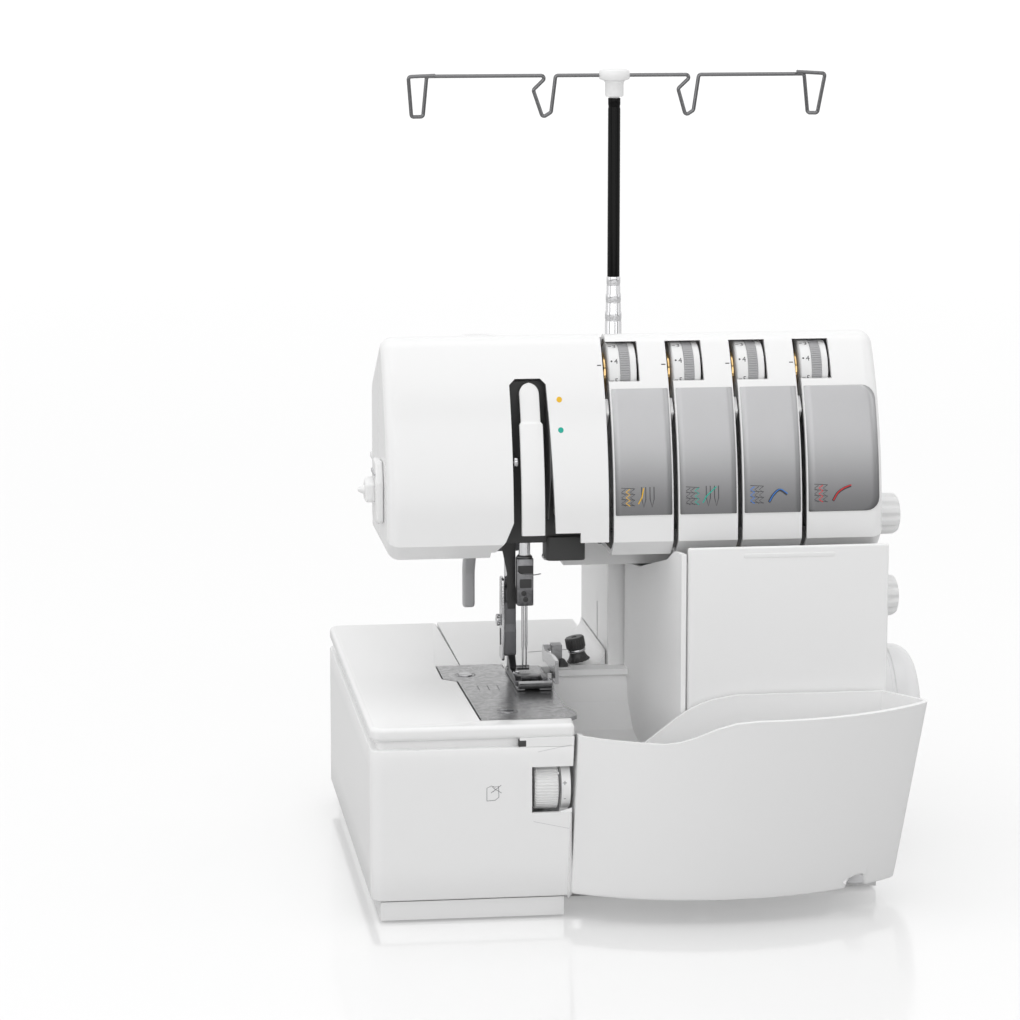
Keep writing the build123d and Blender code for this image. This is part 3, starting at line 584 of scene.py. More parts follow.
@dataclass(frozen=True)
class Finish:
    """One finish of the machine: colour, gloss, skin and wear."""

    name: str
    colour: Colour
    roughness: float = 0.3
    metallic: float = 0.0
    coat: float = 0.0
    grain: float = 0.02
    grain_scale: float = 900.0
    waviness: float = 0.3
    tone: float = 0.03
    marks: float = 0.06
    wear: float = 0.0
    worn: Colour = (0.8, 0.8, 0.8)
    brushing: Brushing = Brushing.NONE
    # low_colour, low_z and high_z fade the colour darker towards the bottom; on the silver plates this is
    # painted shade.
    low_colour: Colour | None = None
    low_z: float = 0.0
    high_z: float = 1.0
    ior: float = 1.5
    coat_roughness: float = 0.06

    def material(self) -> bpy.types.Material:
        """The material of this finish, built on first use."""
        return bpy.data.materials.get(self.name) or self._build()

    def _build(self) -> bpy.types.Material:
        """Lays the effects out: tone and fade to the colour, marks to the roughness, skin to the normal."""
        material = bpy.data.materials.new(self.name)
        material.use_nodes = True
        tree = material.node_tree
        shader = tree.nodes["Principled BSDF"]
        place = add_node(tree, "ShaderNodeTexCoord").outputs["Object"]
        base: object = (*self.colour, 1.0)
        if self.low_colour is not None:
            base = self._fade(tree, place)
        colour = Effect.TONE.put(tree, {"Vector": place, "Color": base, "Amount": self.tone}).outputs[0]
        if self.wear:
            mask = Effect.WEAR.put(tree, {"Vector": place, "Amount": self.wear}).outputs[0]
            mixed = add_node(tree, "ShaderNodeMix", {0: mask, 6: colour, 7: (*self.worn, 1.0)},
                             data_type="RGBA")
            colour = mixed.outputs[2]
        tree.links.new(colour, shader.inputs["Base Color"])
        marks = Effect.MARKS.put(tree, {"Vector": place, "Base": self.roughness, "Amount": self.marks})
        tree.links.new(marks.outputs[0], shader.inputs["Roughness"])
        shader.inputs["Metallic"].default_value = self.metallic
        shader.inputs["Coat Weight"].default_value = self.coat
        shader.inputs["Coat Roughness"].default_value = self.coat_roughness
        shader.inputs["IOR"].default_value = self.ior
        if self.brushing is Brushing.NONE:
            skin = Effect.GRAIN.put(tree, {"Vector": place, "Scale": self.grain_scale,
                    "Waviness": self.waviness})
        else:
            skin = Effect.DRAWN.put(tree, {"Vector": place, "Stretch": self.brushing.value,
                    "Scale": self.grain_scale})
        bump = add_node(tree, "ShaderNodeBump", {"Height": skin.outputs[0], "Strength": self.grain,
                                                 "Distance": MM})
        tree.links.new(bump.outputs[0], shader.inputs["Normal"])
        return material

    def _fade(self, tree: bpy.types.NodeTree, place: bpy.types.NodeSocket) -> bpy.types.NodeSocket:
        """Colour that fades from low_colour at low_z to colour at high_z, in metres."""
        height = add_node(tree, "ShaderNodeSeparateXYZ", {0: place}).outputs[2]
        share = add_node(tree, "ShaderNodeMapRange", {"Value": height, 1: self.low_z, 2: self.high_z},
                         interpolation_type="SMOOTHSTEP").outputs[0]
        fade = add_node(tree, "ShaderNodeMix", {0: share, 6: (*self.low_colour, 1.0), 7: (*self.colour, 1.0)},
                        data_type="RGBA")
        return fade.outputs[2]


SHELL = Finish("shell_white", (0.86, 0.86, 0.865), 0.24, coat=0.35, grain=0.02)
BIN = Finish("bin_white", (0.84, 0.84, 0.845), 0.3, coat=0.25, grain=0.03)
# Painted light: a brighter white than the other shells, to make up for the light that the shadowed bay behind
# the bin does not get.
CHUTE_PAINTED_LIGHT = Finish("chute_white_painted_light", (0.95, 0.95, 0.95), 0.5, grain=0.03)
BASE = Finish("base_white", (0.82, 0.82, 0.825), 0.4, grain=0.06)
# Grey for the handwheel's printed arrow, and painted shade for the window creases and the inside of the bin's
# notch.
GREY_PRINT_AND_SHADE = Finish("grey_print_and_painted_shade", (0.62, 0.62, 0.63), 0.4, grain=0.06)
CLAMP = Finish("clamp_metal", (0.3, 0.3, 0.31), 0.3, metallic=0.95, grain=0.08, tone=0.15, wear=0.5,
               worn=(0.7, 0.7, 0.7), low_colour=(0.1, 0.1, 0.105), low_z=0.150, high_z=0.172)
RUBBER = Finish("foot_rubber", (0.03, 0.03, 0.03), 0.8, grain=0.25, grain_scale=500)
CASTING = Finish("cast_frame", (0.45, 0.45, 0.46), 0.5, metallic=0.9, grain=0.3, grain_scale=350, tone=0.15)
# Silver plates: their fade to dark grey at the foot is painted shade, standing in for the darker reflection
# on their lower part.
SILVER = Finish("silver_plate", (0.62, 0.62, 0.63), 0.36, metallic=0.85, grain=0.12, grain_scale=2600,
                tone=0.1, low_colour=(0.2, 0.2, 0.205), low_z=0.202, high_z=0.282)
STEEL = Finish("polished_steel", (0.62, 0.62, 0.63), 0.2, metallic=1.0, grain=0.05, brushing=Brushing.ALONG_X,
               grain_scale=1500, tone=0.08)
BRASS = Finish("brass", (0.55, 0.29, 0.07), 0.26, metallic=1.0, grain=0.08, tone=0.15, wear=0.4,
               worn=(0.95, 0.75, 0.4))
DARK = Finish("dark_metal", (0.05, 0.05, 0.053), 0.26, metallic=0.75, grain=0.12, grain_scale=700,
              tone=0.25, wear=0.8, worn=(0.5, 0.5, 0.51))
PLATE = Finish("plate_steel", (0.26, 0.26, 0.265), 0.26, metallic=0.85, grain=0.1, grain_scale=700, tone=0.12,
               brushing=Brushing.ALONG_X, wear=0.4, worn=(0.7, 0.7, 0.7))
DIAL = Finish("dial_white", (0.8, 0.8, 0.8), 0.36, grain=0.05)
DIAL_GREY = Finish("dial_grey", (0.42, 0.42, 0.43), 0.42, grain=0.05)
WHEEL = Finish("wheel_white", (0.85, 0.85, 0.855), 0.26, coat=0.3)
GREY = Finish("lifter_grey", (0.5, 0.5, 0.51), 0.4, grain=0.1)
BLACK = Finish("black_plastic", (0.004, 0.004, 0.004), 0.34, grain=0.1, wear=0.1, worn=(0.08, 0.08, 0.08),
               marks=0.02, ior=1.13)
BELT = Finish("belt_rubber", (0.03, 0.03, 0.03), 0.7, grain=0.2)
MOTOR = Finish("motor_shell", (0.16, 0.16, 0.165), 0.38, metallic=0.7, grain=0.1, tone=0.15)
PULLEY = Finish("turned_alloy", (0.6, 0.6, 0.61), 0.3, metallic=1.0, grain=0.1, brushing=Brushing.ALONG_Y)
TRAY = Finish("tray_plastic", (0.8, 0.8, 0.805), 0.35, grain=0.05)
# Painted reflection: the top mast tube gets a near-black colour with weak gloss, standing in for the dark
# room that its chrome reflects.
MAST_PAINTED_DARK_REFLECTION = Finish("mast_painted_dark_reflection", (0.004, 0.004, 0.004), 0.14, grain=0.005, tone=0.1, marks=0.02,
                     ior=1.22)
# Painted shade: dark grey for the slot's right wall, lighter than the black because some light reaches it.
SLOT_WALL_SHADE_GREY = Finish("slot_wall_painted_shade_grey", (0.13, 0.13, 0.132), 0.4, grain=0.06)
CHROME = Finish("mast_chrome", (0.42, 0.42, 0.43), 0.07, metallic=1.0, grain=0.008, tone=0.04, marks=0.03)
WIRE = Finish("guide_wire", (0.2, 0.2, 0.205), 0.16, metallic=1.0, grain=0.03, tone=0.1)
INK = Finish("marking_ink", (0.05, 0.05, 0.055), 0.5, grain=0.05)
PALE_INK = Finish("pale_ink", (0.3, 0.3, 0.31), 0.5, grain=0.05)
YELLOW = Finish("thread_yellow", (0.85, 0.5, 0.02), 0.35)
TEAL = Finish("thread_teal", (0.0, 0.42, 0.32), 0.35)
BLUE = Finish("thread_blue", (0.03, 0.2, 0.65), 0.35)
RED = Finish("thread_red", (0.75, 0.02, 0.03), 0.35)


def dress(piece: bpy.types.Object, finish: Finish, body: str,
          stands_for: Sequence[str] = ()) -> bpy.types.Object:
    """Gives a new piece its finish, its body and the nodes that it stands for.

    Args:
        piece: the new piece.
        finish: its finish; a piece that has one already keeps it.
        body: the CAD body that it rides on.
        stands_for: the CAD nodes that it replaces.

    Returns:
        The piece.
    """
    if not piece.data.materials:
        piece.data.materials.append(finish.material())
    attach(piece, body)
    if stands_for:
        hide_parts(*stands_for)
    log.info("%s: %d faces on %s", piece.name, len(piece.data.polygons), body)
    return piece


NODE_FINISHES: dict[str, Finish] = {
    "shell_white": SHELL, "bin_white": BIN, "base_white": BASE, "rubber": RUBBER, "casting": CASTING,
    "silver": SILVER, "steel": STEEL, "brass": BRASS, "dark_metal": DARK, "plate_metal": PLATE,
    "dial_white": DIAL, "handwheel_white": WHEEL, "grey_plastic": GREY, "black_plastic": BLACK,
    "belt_rubber": BELT, "motor_metal": MOTOR, "pulley_metal": PULLEY, "tray_plastic": TRAY,
    "mast_chrome": CHROME, "wire": WIRE}


def thicken(piece: bpy.types.Object, thickness: float, rim: float = 0.0) -> bpy.types.Object:
    """Gives a skin its wall on the inner side, and rounds the wall's edges.

    Args:
        piece: a skin whose faces point outwards.
        thickness: the wall in millimetres.
        rim: width of the rounding, or 0 for none.

    Returns:
        The piece.
    """
    wall = piece.modifiers.new("wall", "SOLIDIFY")
    wall.thickness, wall.offset = thickness * MM, -1.0
    if rim:
        soften(piece, rim)
    return piece


def soften(piece: bpy.types.Object, rim: float, segments: int = 2, angle: float = 40.0) -> bpy.types.Object:
    """Rounds the edges that turn by more than the angle."""
    edge = piece.modifiers.new("rim", "BEVEL")
    edge.width, edge.segments, edge.limit_method = rim * MM, segments, "ANGLE"
    edge.angle_limit = math.radians(angle)
    edge.harden_normals = True
    return piece


class PackedNodes:
    """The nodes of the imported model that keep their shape: each gets its slot's finish."""

    def build(self) -> None:
        """Assigns a finish to every node by the record's slot, but the waste chute gets a brighter white:
        painted light.
        """
        for part in frame["record"]["subparts"]:
            node = frame["nodes"][part["node"]]
            if node.hide_render:
                continue
            node.data.materials.clear()
            # The waste chute's brighter white is painted light for its shadowed bay.
            finish = CHUTE_PAINTED_LIGHT if part["node"] == "waste_chute" else NODE_FINISHES[part["material_slot"]]
            node.data.materials.append(finish.material())
        log.info("finishes on %d packed nodes", len(frame["nodes"]))


# ---------------------------------------------------------------- studio
@dataclass
class Studio:
    """Pale floor, soft boxes and the camera.

    Each of the panels has a name, a place in metres, a width, a height and a power. The room goes from
    the strength dim on the camera's side to bright on the far side, and looks backdrop to the camera.
    """

    eye: Point = (-272.0, -1887.7, 550.0)
    pitch: float = 80.2
    yaw: float = -7.3
    lens: float = 130.59
    sensor: float = 36.0
    panels: tuple = field(default=(
        ("left_panel", (-2.2, -0.3, 1.0), 1.4, 1.8, 5.5),
        ("right_panel", (2.0, -0.6, 1.0), 1.2, 1.8, 3.5),
        ("top_panel", (-0.2, -0.5, 2.3), 2.6, 2.2, 16.5),
        ("front_left_panel", (-2.1, -2.3, 1.2), 1.4, 1.8, 11.0),
        ("front_right_panel", (1.7, -2.6, 1.1), 1.2, 1.6, 8.0),
        ("front_panel", (-0.3, -3.1, 1.3), 2.6, 2.0, 23.0)))
    aim: Point = (0.0, 0.0, 0.18)
    floor_glow: float = 0.33
    floor_radius: float = 40.0
    floor_grid: tuple[int, int] = (12, 64)
    dim: float = 0.28
    bright: float = 0.9
    backdrop: float = 1.02

    def build(self) -> None:
        """Makes the floor, the surroundings, the lights and the camera."""
        self._floor()
        self._surroundings()
        for panel in self.panels:
            self._light(*panel)
        self._camera()

    def _floor(self) -> None:
        """Round floor: the radius grows from row to row and the angle goes round. It glows for the
        camera alone."""
        rows, steps = self.floor_grid
        radius = np.linspace(0, 1, rows)[:, None] ** 2 * self.floor_radius
        turn = np.linspace(0, 2 * math.pi, steps, endpoint=False)
        points = np.stack(np.broadcast_arrays(radius * np.cos(turn), radius * np.sin(turn), 0 * radius), -1)
        mesh = bpy.data.meshes.new("floor")
        mesh.from_pydata(points.reshape(-1, 3), [], quads(rows, steps, wrap_columns=True).tolist())
        floor = linked("floor", mesh)
        finish = Finish("floor_paper", (0.55, 0.55, 0.55), 0.09, grain=0.0, tone=0.0, marks=0.0)
        paper = finish.material()
        skin = paper.node_tree.nodes["Principled BSDF"]
        seen = add_node(paper.node_tree, "ShaderNodeLightPath").outputs["Is Camera Ray"]
        glow = math_node(paper.node_tree, "MULTIPLY", seen, self.floor_glow)
        paper.node_tree.links.new(glow, skin.inputs["Emission Strength"])
        skin.inputs["Emission Color"].default_value = (1.0, 1.0, 1.0, 1.0)
        floor.data.materials.append(paper)

    def _surroundings(self) -> None:
        """White room with a dim side behind the camera, so that metal shows dark and light bands."""
        world = bpy.data.worlds.new("studio")
        bpy.context.scene.world = world
        world.use_nodes = True
        tree = world.node_tree
        back = tree.nodes["Background"]
        way = add_node(tree, "ShaderNodeTexCoord").outputs["Generated"]
        parts = add_node(tree, "ShaderNodeSeparateXYZ", {0: way})
        front = add_node(tree, "ShaderNodeMapRange",
                         {"Value": parts.outputs[1], 1: -0.8, 2: 0.35, 3: self.dim, 4: self.bright},
                         interpolation_type="SMOOTHSTEP").outputs[0]
        seen = add_node(tree, "ShaderNodeLightPath").outputs["Is Camera Ray"]
        strength = add_node(tree, "ShaderNodeMix", {0: seen, 2: front, 3: self.backdrop}).outputs[0]
        tree.links.new(strength, back.inputs["Strength"])
        back.inputs["Color"].default_value = (1.0, 1.0, 1.0, 1.0)

    def _light(self, name: str, place: Point, wide: float, high: float, power: float) -> None:
        """One soft box that faces the machine."""
        data = bpy.data.lights.new(name, "AREA")
        data.shape = "RECTANGLE"
        data.size, data.size_y, data.energy = wide, high, power
        light = linked(name, data)
        light.location = place
        aim = np.array(self.aim) - np.array(place)
        light.rotation_euler = Vector(aim).to_track_quat("-Z", "Y").to_euler()

    def _camera(self) -> None:
        """The camera, at the maker's coordinates of its eye."""
        data = bpy.data.cameras.new("camera")
        data.lens, data.sensor_width = self.lens, self.sensor
        data.clip_start, data.clip_end = 0.05, 100.0
        camera = linked("camera", data)
        camera.location = to_frame(np.array(self.eye))
        camera.rotation_euler = (math.radians(self.pitch), 0.0, math.radians(self.yaw))
        bpy.context.scene.camera = camera
        bpy.context.scene.view_settings.view_transform = "Standard"


# ---------------------------------------------------------------- head
@dataclass(frozen=True)
class FaceArc:
    """The arc along which the head's front face leans back."""

    centre: Pair = (205.0, 200.0)
    radius: float = 160.0

    def at(self, x: np.ndarray, z: np.ndarray, lift: np.ndarray | float = 0.0) -> np.ndarray:
        """Point of the face at a height: its angle is arcsin((z - centre z) / radius), and lift moves it
        out along the arc's radius.

        Args:
            x: where it is across the machine.
            z: its height before the lift.
            lift: how far off the face it lies.

        Returns:
            The points.
        """
        angle = np.arcsin((np.asarray(z, float) - self.centre[1]) / self.radius)
        reach = self.radius + lift
        return np.stack(np.broadcast_arrays(x, self.centre[0] - reach * np.cos(angle),
                                            self.centre[1] + reach * np.sin(angle)), -1)

    def plate(self, name: str, sides: Pair, heights: Pair, corners: Sequence[float], lift: float,
              thickness: float) -> bpy.types.Object:
        """Thin plate on the face: each row runs from its left to its right edge, and near a corner of
        radius r the edge is inset by r * (1 - cos t) while the row rises by r * sin t.

        Args:
            name: the piece's name.
            sides: its left and right edge.
            heights: its foot and top.
            corners: radii at the foot left, foot right, top left and top right.
            lift: how far its outer skin lies off the face.
            thickness: its thickness.

        Returns:
            The plate.
        """
        turn = np.linspace(0, math.pi / 2, 6)
        big = max(corners)
        foot, top = heights[0] + big * (1 - np.cos(turn)), heights[1] - big * (1 - np.cos(turn[::-1]))
        rows = np.concatenate([foot, np.linspace(heights[0] + big, heights[1] - big, 16)[1:-1], top])

        def edge(low: float, high: float) -> np.ndarray:
            """How far the edge is inset at each row."""
            cuts = np.zeros(len(rows))
            for size, gap in ((low, rows - heights[0]), (high, heights[1] - rows)):
                near = np.clip(1 - gap / max(size, 1e-6), 0, 1)
                cuts = np.maximum(cuts, size * (1 - np.sqrt(1 - near**2)))
            return cuts

        left, right = sides[0] + edge(corners[0], corners[2]), sides[1] - edge(corners[1], corners[3])
        share = np.linspace(0, 1, 10)
        x = left[:, None] * (1 - share) + right[:, None] * share
        points = self.at(x, np.broadcast_to(rows[:, None], x.shape), lift)
        piece = new_piece(name, points.reshape(-1, 3), quads(len(rows), 10))
        face_out(piece, FRONT)
        return thicken(piece, thickness)

    def stroke(self, name: str, line: Sequence[Pair], width: float, lift: float = 0.42,
               height: float = 0.08) -> bpy.types.Object:
        """Flat inked line on the face through points of x and height."""
        line = np.asarray(line, float)
        path = self.at(line[:, 0], line[:, 1], lift)
        return carried(name, path, flat(width, height), up=FRONT)


def face_out(piece: bpy.types.Object, way: Point) -> None:
    """Turns an open skin so that its faces look the given way on the whole."""
    mesh = piece.data
    normals, areas = np.empty(len(mesh.polygons) * 3), np.empty(len(mesh.polygons))
    mesh.polygons.foreach_get("normal", normals)
    mesh.polygons.foreach_get("area", areas)
    if (normals.reshape(-1, 3) * areas[:, None]).sum(0) @ np.array(way) < 0:
        mesh.flip_normals()


def letter(name: str, text: str, size: float, put: Callable[[np.ndarray, np.ndarray],
        np.ndarray]) -> bpy.types.Object:
    """One number or sign as a thin mesh: its flat points (u, v) go to put(u, v).

    Args:
        name: the piece's name.
        text: the number or sign.
        size: its height in millimetres.
        put: gives the place of points from their distances to the right and up from its middle.

    Returns:
        The new piece.
    """
    curve = bpy.data.curves.new(name, "FONT")
    curve.body, curve.size, curve.resolution_u = text, size * 1.4, 3
    curve.align_x = "CENTER"
    plain = linked(name + "_flat", curve)
    bpy.context.view_layer.update()
    mesh = bpy.data.meshes.new_from_object(plain.evaluated_get(bpy.context.evaluated_depsgraph_get()))
    points = np.array([v.co for v in mesh.vertices], float)
    faces = [list(p.vertices) for p in mesh.polygons]
    bpy.data.objects.remove(plain)
    bpy.data.meshes.remove(mesh)
    points[:, 1] -= (points[:, 1].min() + points[:, 1].max()) / 2
    return new_piece(name, put(points[:, 0], points[:, 1]), faces)


@dataclass
class TensionDial:
    """One tension dial: numbered white band, ribbed grey grip and white flange."""

    number: int
    slot: float
    centre: Pair = (87.0, 280.0)
    radius: float = 17.4
    bore: float = 2.56
    grip: Pair = (8.2, 13.8)
    digits: str = "0123456789"
    shown: int = 4
    shown_angle: float = 31.0

    def build(self) -> None:
        """Makes the wheel, the grip and the numbers."""
        body, left, r = f"tension_{self.number}", self.slot, self.radius
        wheel = [(1.9, self.bore), (1.9, r - 1.4), (2.2, r - 0.6), (2.6, r), (7.9, r), (8.2, r - 0.25),
                 (8.2, r - 0.6), (13.8, r - 0.6), (13.8, r - 0.25), (14.1, r), (16.8, r), (17.2, r - 0.4),
                 (17.2, r - 2.2), (5, r - 2.2), (5, 5), (17.2, 5), (17.2, self.bore)]
        piece = lathe(f"dial_{self.number}_wheel", [(left + a, b) for a, b in wheel], Axis.X, self.centre, 96)
        dress(piece, DIAL, body, [f"tension_dial_{self.number}"])
        ribs = [(8.35, r - 0.58), (8.35, r - 0.2), (8.6, r), (13.4, r), (13.65, r - 0.2), (13.65, r - 0.58)]
        grip = lathe(f"dial_{self.number}_grip", [(left + a, b) for a, b in ribs], Axis.X, self.centre, 320,
                     lambda turn, row: 1 - 0.022 * (np.cos(80 * turn) > 0.3) * ((row > 0) & (row < 5)))
        dress(grip, DIAL_GREY, body)
        marks = [self._digit(i) for i in range(len(self.digits))]
        marks += [self._dot(i) for i in range(len(self.digits))]
        dress(joined(f"dial_{self.number}_numbers", marks), INK, body)

    def _wrap(self, turn: float, x: float) -> Callable[[np.ndarray, np.ndarray], np.ndarray]:
        """Puts flat points on the wheel: up becomes an angle of v / radius."""
        def put(u: np.ndarray, v: np.ndarray) -> np.ndarray:
            """The place of flat points on the wheel's band."""
            angle, r = turn + v / self.radius, self.radius + 0.03
            return np.stack([self.slot + x + u, self.centre[0] - r * np.cos(angle),
                             self.centre[1] + r * np.sin(angle)], -1)
        return put

    def _angle(self, index: int) -> float:
        """Angle of a number above the front, one tenth of a turn apart."""
        return math.radians(self.shown_angle + 36.0 * (self.shown - index))

    def _digit(self, index: int) -> bpy.types.Object:
        """One number of the scale."""
        return letter(f"digit_{self.number}_{index}", self.digits[index], 3.0,
                      self._wrap(self._angle(index), 6.2))

    def _dot(self, index: int) -> bpy.types.Object:
        """The dash or dot at the left of each number."""
        outline = circle(0.55, 10) if index % 2 == 0 else np.array([(-0.9, -0.22), (0.9, -0.22),
                (0.9, 0.22), (-0.9, 0.22)])
        points = self._wrap(self._angle(index), 3.7)(outline[:, 0], outline[:, 1])
        return new_piece(f"dot_{self.number}_{index}", points, [list(range(len(outline)))])


@dataclass
class Head:
    """Dials, silver plates, marks, take-up slot, thread cutter and lamp of the head."""

    face: FaceArc = field(default_factory=FaceArc)
    slots: tuple[float, ...] = tuple(30.6 + 35.15 * i for i in range(4))
    plate_heights: Pair = (209.0, 275.0)
    guard_heights: Pair = (199.0, 279.5)
    guard_middle: float = -11.5
    guard_half: float = 6.4
    guard_crown: float = 5.4
    guard_step: Pair = (258.0, 1.6)

    def build(self) -> None:
        """Builds the head's pieces in order."""
        for number, slot in enumerate(self.slots, start=1):
            TensionDial(number, slot).build()
            self._tension_details(number, slot)
        self._plates()
        self._take_up()
        self._marks()
        self._thread_cutter()
        self._under_head()

    def _plates(self) -> None:
        """Four brushed plates, the last with rounded right corners, and their thread pictures."""
        for i, slot in enumerate(self.slots):
            end = slot + 33.0 if i < 3 else Box.of("tension_cover").high[0] - 2.8
            corners = (0.6, 0.6, 0.6, 0.6) if i < 3 else (0.6, 7.0, 0.6, 7.0)
            plate = self.face.plate(f"plate_{i + 1}", (slot + 2.2, end), self.plate_heights, corners, 0.4,
                    0.34)
            # The plates' colour darkens towards their foot: painted shade from the silver finish.
            dress(plate, SILVER, "machine", ["silver_inlays"] if i == 0 else ())
            self._picture(i, slot + 6.5)

    def _picture(self, index: int, x: float) -> None:
        """Stitch picture with one coloured thread, and the needle or looper that carries it."""
        thread = (YELLOW, TEAL, BLUE, RED)[index]
        rows = [[(x + 2.4 * c + 1.1 * (-1) ** k, 214 + 1.5 * k) for k in range(7)] for c in range(3)]
        lines = [self.face.stroke(f"stitch_{index}_{c}", row, 0.34) for c, row in enumerate(rows)]
        lines += [self.face.stroke(f"stitch_{index}_b{k}", [(x - 1.2, 214.7 + 3 * k),
                (x + 6.2, 214.2 + 3 * k)], 0.3) for k in range(4)]
        dress(joined(f"picture_{index + 1}_stitch", lines), INK, "machine")
        colour = [self.face.stroke(f"thread_{index}", rows[(index + 1) % 3], 0.5, 0.48)]
        if index < 2:
            for k, start in enumerate((x + 11.0, x + 15.5)):
                needle = [(start - 1.1, 224), (start - 1.1, 217.5), (start, 213.2), (start + 1.1, 217.5),
                          (start + 1.1, 224)]
                dress(self.face.stroke(f"picture_{index + 1}_needle_{k}", needle, 0.45), INK, "machine")
            colour.append(self.face.stroke(f"lead_{index}", [(x + 8, 215), (x + 10, 218.5),
                    (x + 11 + 4.5 * index, 223.5)], 0.6, 0.48))
        else:
            bend = [(x + 9, 214.5), (x + 11.5, 218.5), (x + 15, 221), (x + 19, 222.5 - 4 * (index == 2))]
            hook = smooth_path([(*p, 0.0) for p in bend])[:, :2]
            dress(self.face.stroke(f"picture_{index + 1}_hook", hook, 1.5), INK, "machine")
            colour.append(self.face.stroke(f"lead_{index}", hook + np.array([0.3, 0.4]), 0.5, 0.52))
        dress(joined(f"picture_{index + 1}_thread", colour), thread, "machine")

    def _marks(self) -> None:
        """Index dash at the left of each dial, and the two thread dots beside the take-up slot."""
        dashes = [self.face.stroke(f"dash_{i}", [(slot - 4.4, 287.0), (slot - 2.2, 287.0)], 0.7, 0.02)
                  for i, slot in enumerate(self.slots)]
        dress(joined("index_dashes", dashes), INK, "machine")
        for name, z, finish in (("dot_upper", 270.2, YELLOW), ("dot_lower", 254.6, TEAL)):
            turn = np.linspace(0, 2 * math.pi, 24, endpoint=False)
            rings = [self.face.at(4.3 + r * np.cos(turn), z + r * np.sin(turn), lift)
                     for r, lift in ((1.5, -0.1), (1.5, 0.03), (1.3, 0.08))]
            faces = [list(f) for f in quads(3, 24, wrap_columns=True)] + [list(range(48, 72))]
            dress(new_piece(name, np.concatenate(rings), faces), finish, "machine")

    def _take_up(self) -> None:
        """Painted shade in the slot: a black sheet at its back, a black left wall and a dark grey right wall
        that gets some light; then the white guard bar with its step, and the steel take-up lever.
        """
        low, high = self.guard_heights
        start, run = self.guard_step
        crown = high - self.guard_crown + self.guard_crown * np.sin(np.linspace(0, math.pi / 2, 14))
        levels = np.concatenate([np.linspace(low, 257.4, 24), np.linspace(start, 259.6, 5),
                                 np.linspace(261, high - 6, 8), crown])
        stepped = np.clip((levels - start) / run, 0, 1)
        top = np.clip((levels - (high - self.guard_crown)) / self.guard_crown, 0, 1)
        half = (self.guard_half - stepped) * np.sqrt(np.maximum(1 - top**2, 0.004))
        across = np.linspace(-math.pi / 2, math.pi / 2, 11)
        x = self.guard_middle + half[:, None] * np.sin(across)
        lift = -1.6 + 1.5 * np.cos(across)[None, :] ** 0.35 - 1.3 * stepped[:, None]
        front = self.face.at(x, np.broadcast_to(levels[:, None], x.shape), lift)
        guard = new_piece("guard_bar", front.reshape(-1, 3), quads(len(levels), 11))
        face_out(guard, FRONT)
        dress(thicken(guard, 1.6, 0.3), SHELL, "machine", ["take_up_guard"])
        # Black sheet of painted shade behind the slot, for its dark inside.
        lining = rounded([(-23.2, 205), (-23.2, 279), (-1.4, 279), (3.5, 205), (12, 199), (28, 197),
                          (28, 190), (-36, 190), (-31, 198)], 2.0)
        dress(slab("slot_painted_shade", lining, Axis.Y, 74.0, 75.2, 0.3), BLACK, "machine")
        # The slot's side walls: black painted shade on the left, and grey painted shade on the right, which
        # gets some light.
        for name, x0, finish in (("slot_left_wall_painted_shade", -23.4, BLACK), ("slot_right_wall_painted_shade", -1.9, SLOT_WALL_SHADE_GREY)):
            wall = [(60, 205), (50, 230), (53, 250), (66, 279), (75, 279), (75, 205)]
            dress(slab(name, rounded(wall, 2.0), Axis.X, x0, x0 + 0.6, 0.15), finish, "machine")
        lever = rounded([(97, 235), (97, 243), (86, 243), (60, 241), (51.5, 240.5), (50.4, 235.5),
                         (60, 234.6)], [3.5, 3.5, 2, 2, 2.4, 2.4, 2])
        blade = slab("take_up_blade", lever, Axis.X, -21.4, -19.2, 0.5)
        eye = lathe("take_up_eye", [(-21.7, 0.9), (-21.7, 1.8), (-21.4, 2.0), (-19.2, 2.0), (-18.9, 1.8),
                (-18.9, 0.9)], Axis.X, (54.5, 237.5), 24)
        pin = lathe("take_up_pin", [(-21.6, 0), (-21.6, 3.4), (-21.3, 3.7), (-20, 3.7), (-20, 2.5),
                (3.7, 2.5), (4, 2.2), (4, 0)], Axis.X, (92.0, 239.0), 32)
        dress(joined("take_up_lever_arm", [blade, eye, pin]), STEEL, "take_up", ["take_up_lever"])

    def _tension_details(self, number: int, slot: float) -> None:
        """Spring on the dial's post, and the thread plate in the slot below each pair of discs."""
        turn = np.linspace(0, 2 * math.pi * 4, 96)
        coil = np.stack([slot + 18.2 + 1.6 * turn / turn[-1], 87.0 + 4 * np.cos(turn),
                         280.0 + 4 * np.sin(turn)], -1)
        spring = carried(f"tension_spring_{number}", coil, circle(0.35, 8), up=RIGHT)
        dress(spring, STEEL, "machine")
        guide = rounded([(70, 252), (60, 262), (66, 270), (76, 262)], 1.5)
        dress(slab(f"slot_guide_{number}", guide, Axis.X, slot - 0.9, slot + 0.9, 0.25), SHELL, "machine")

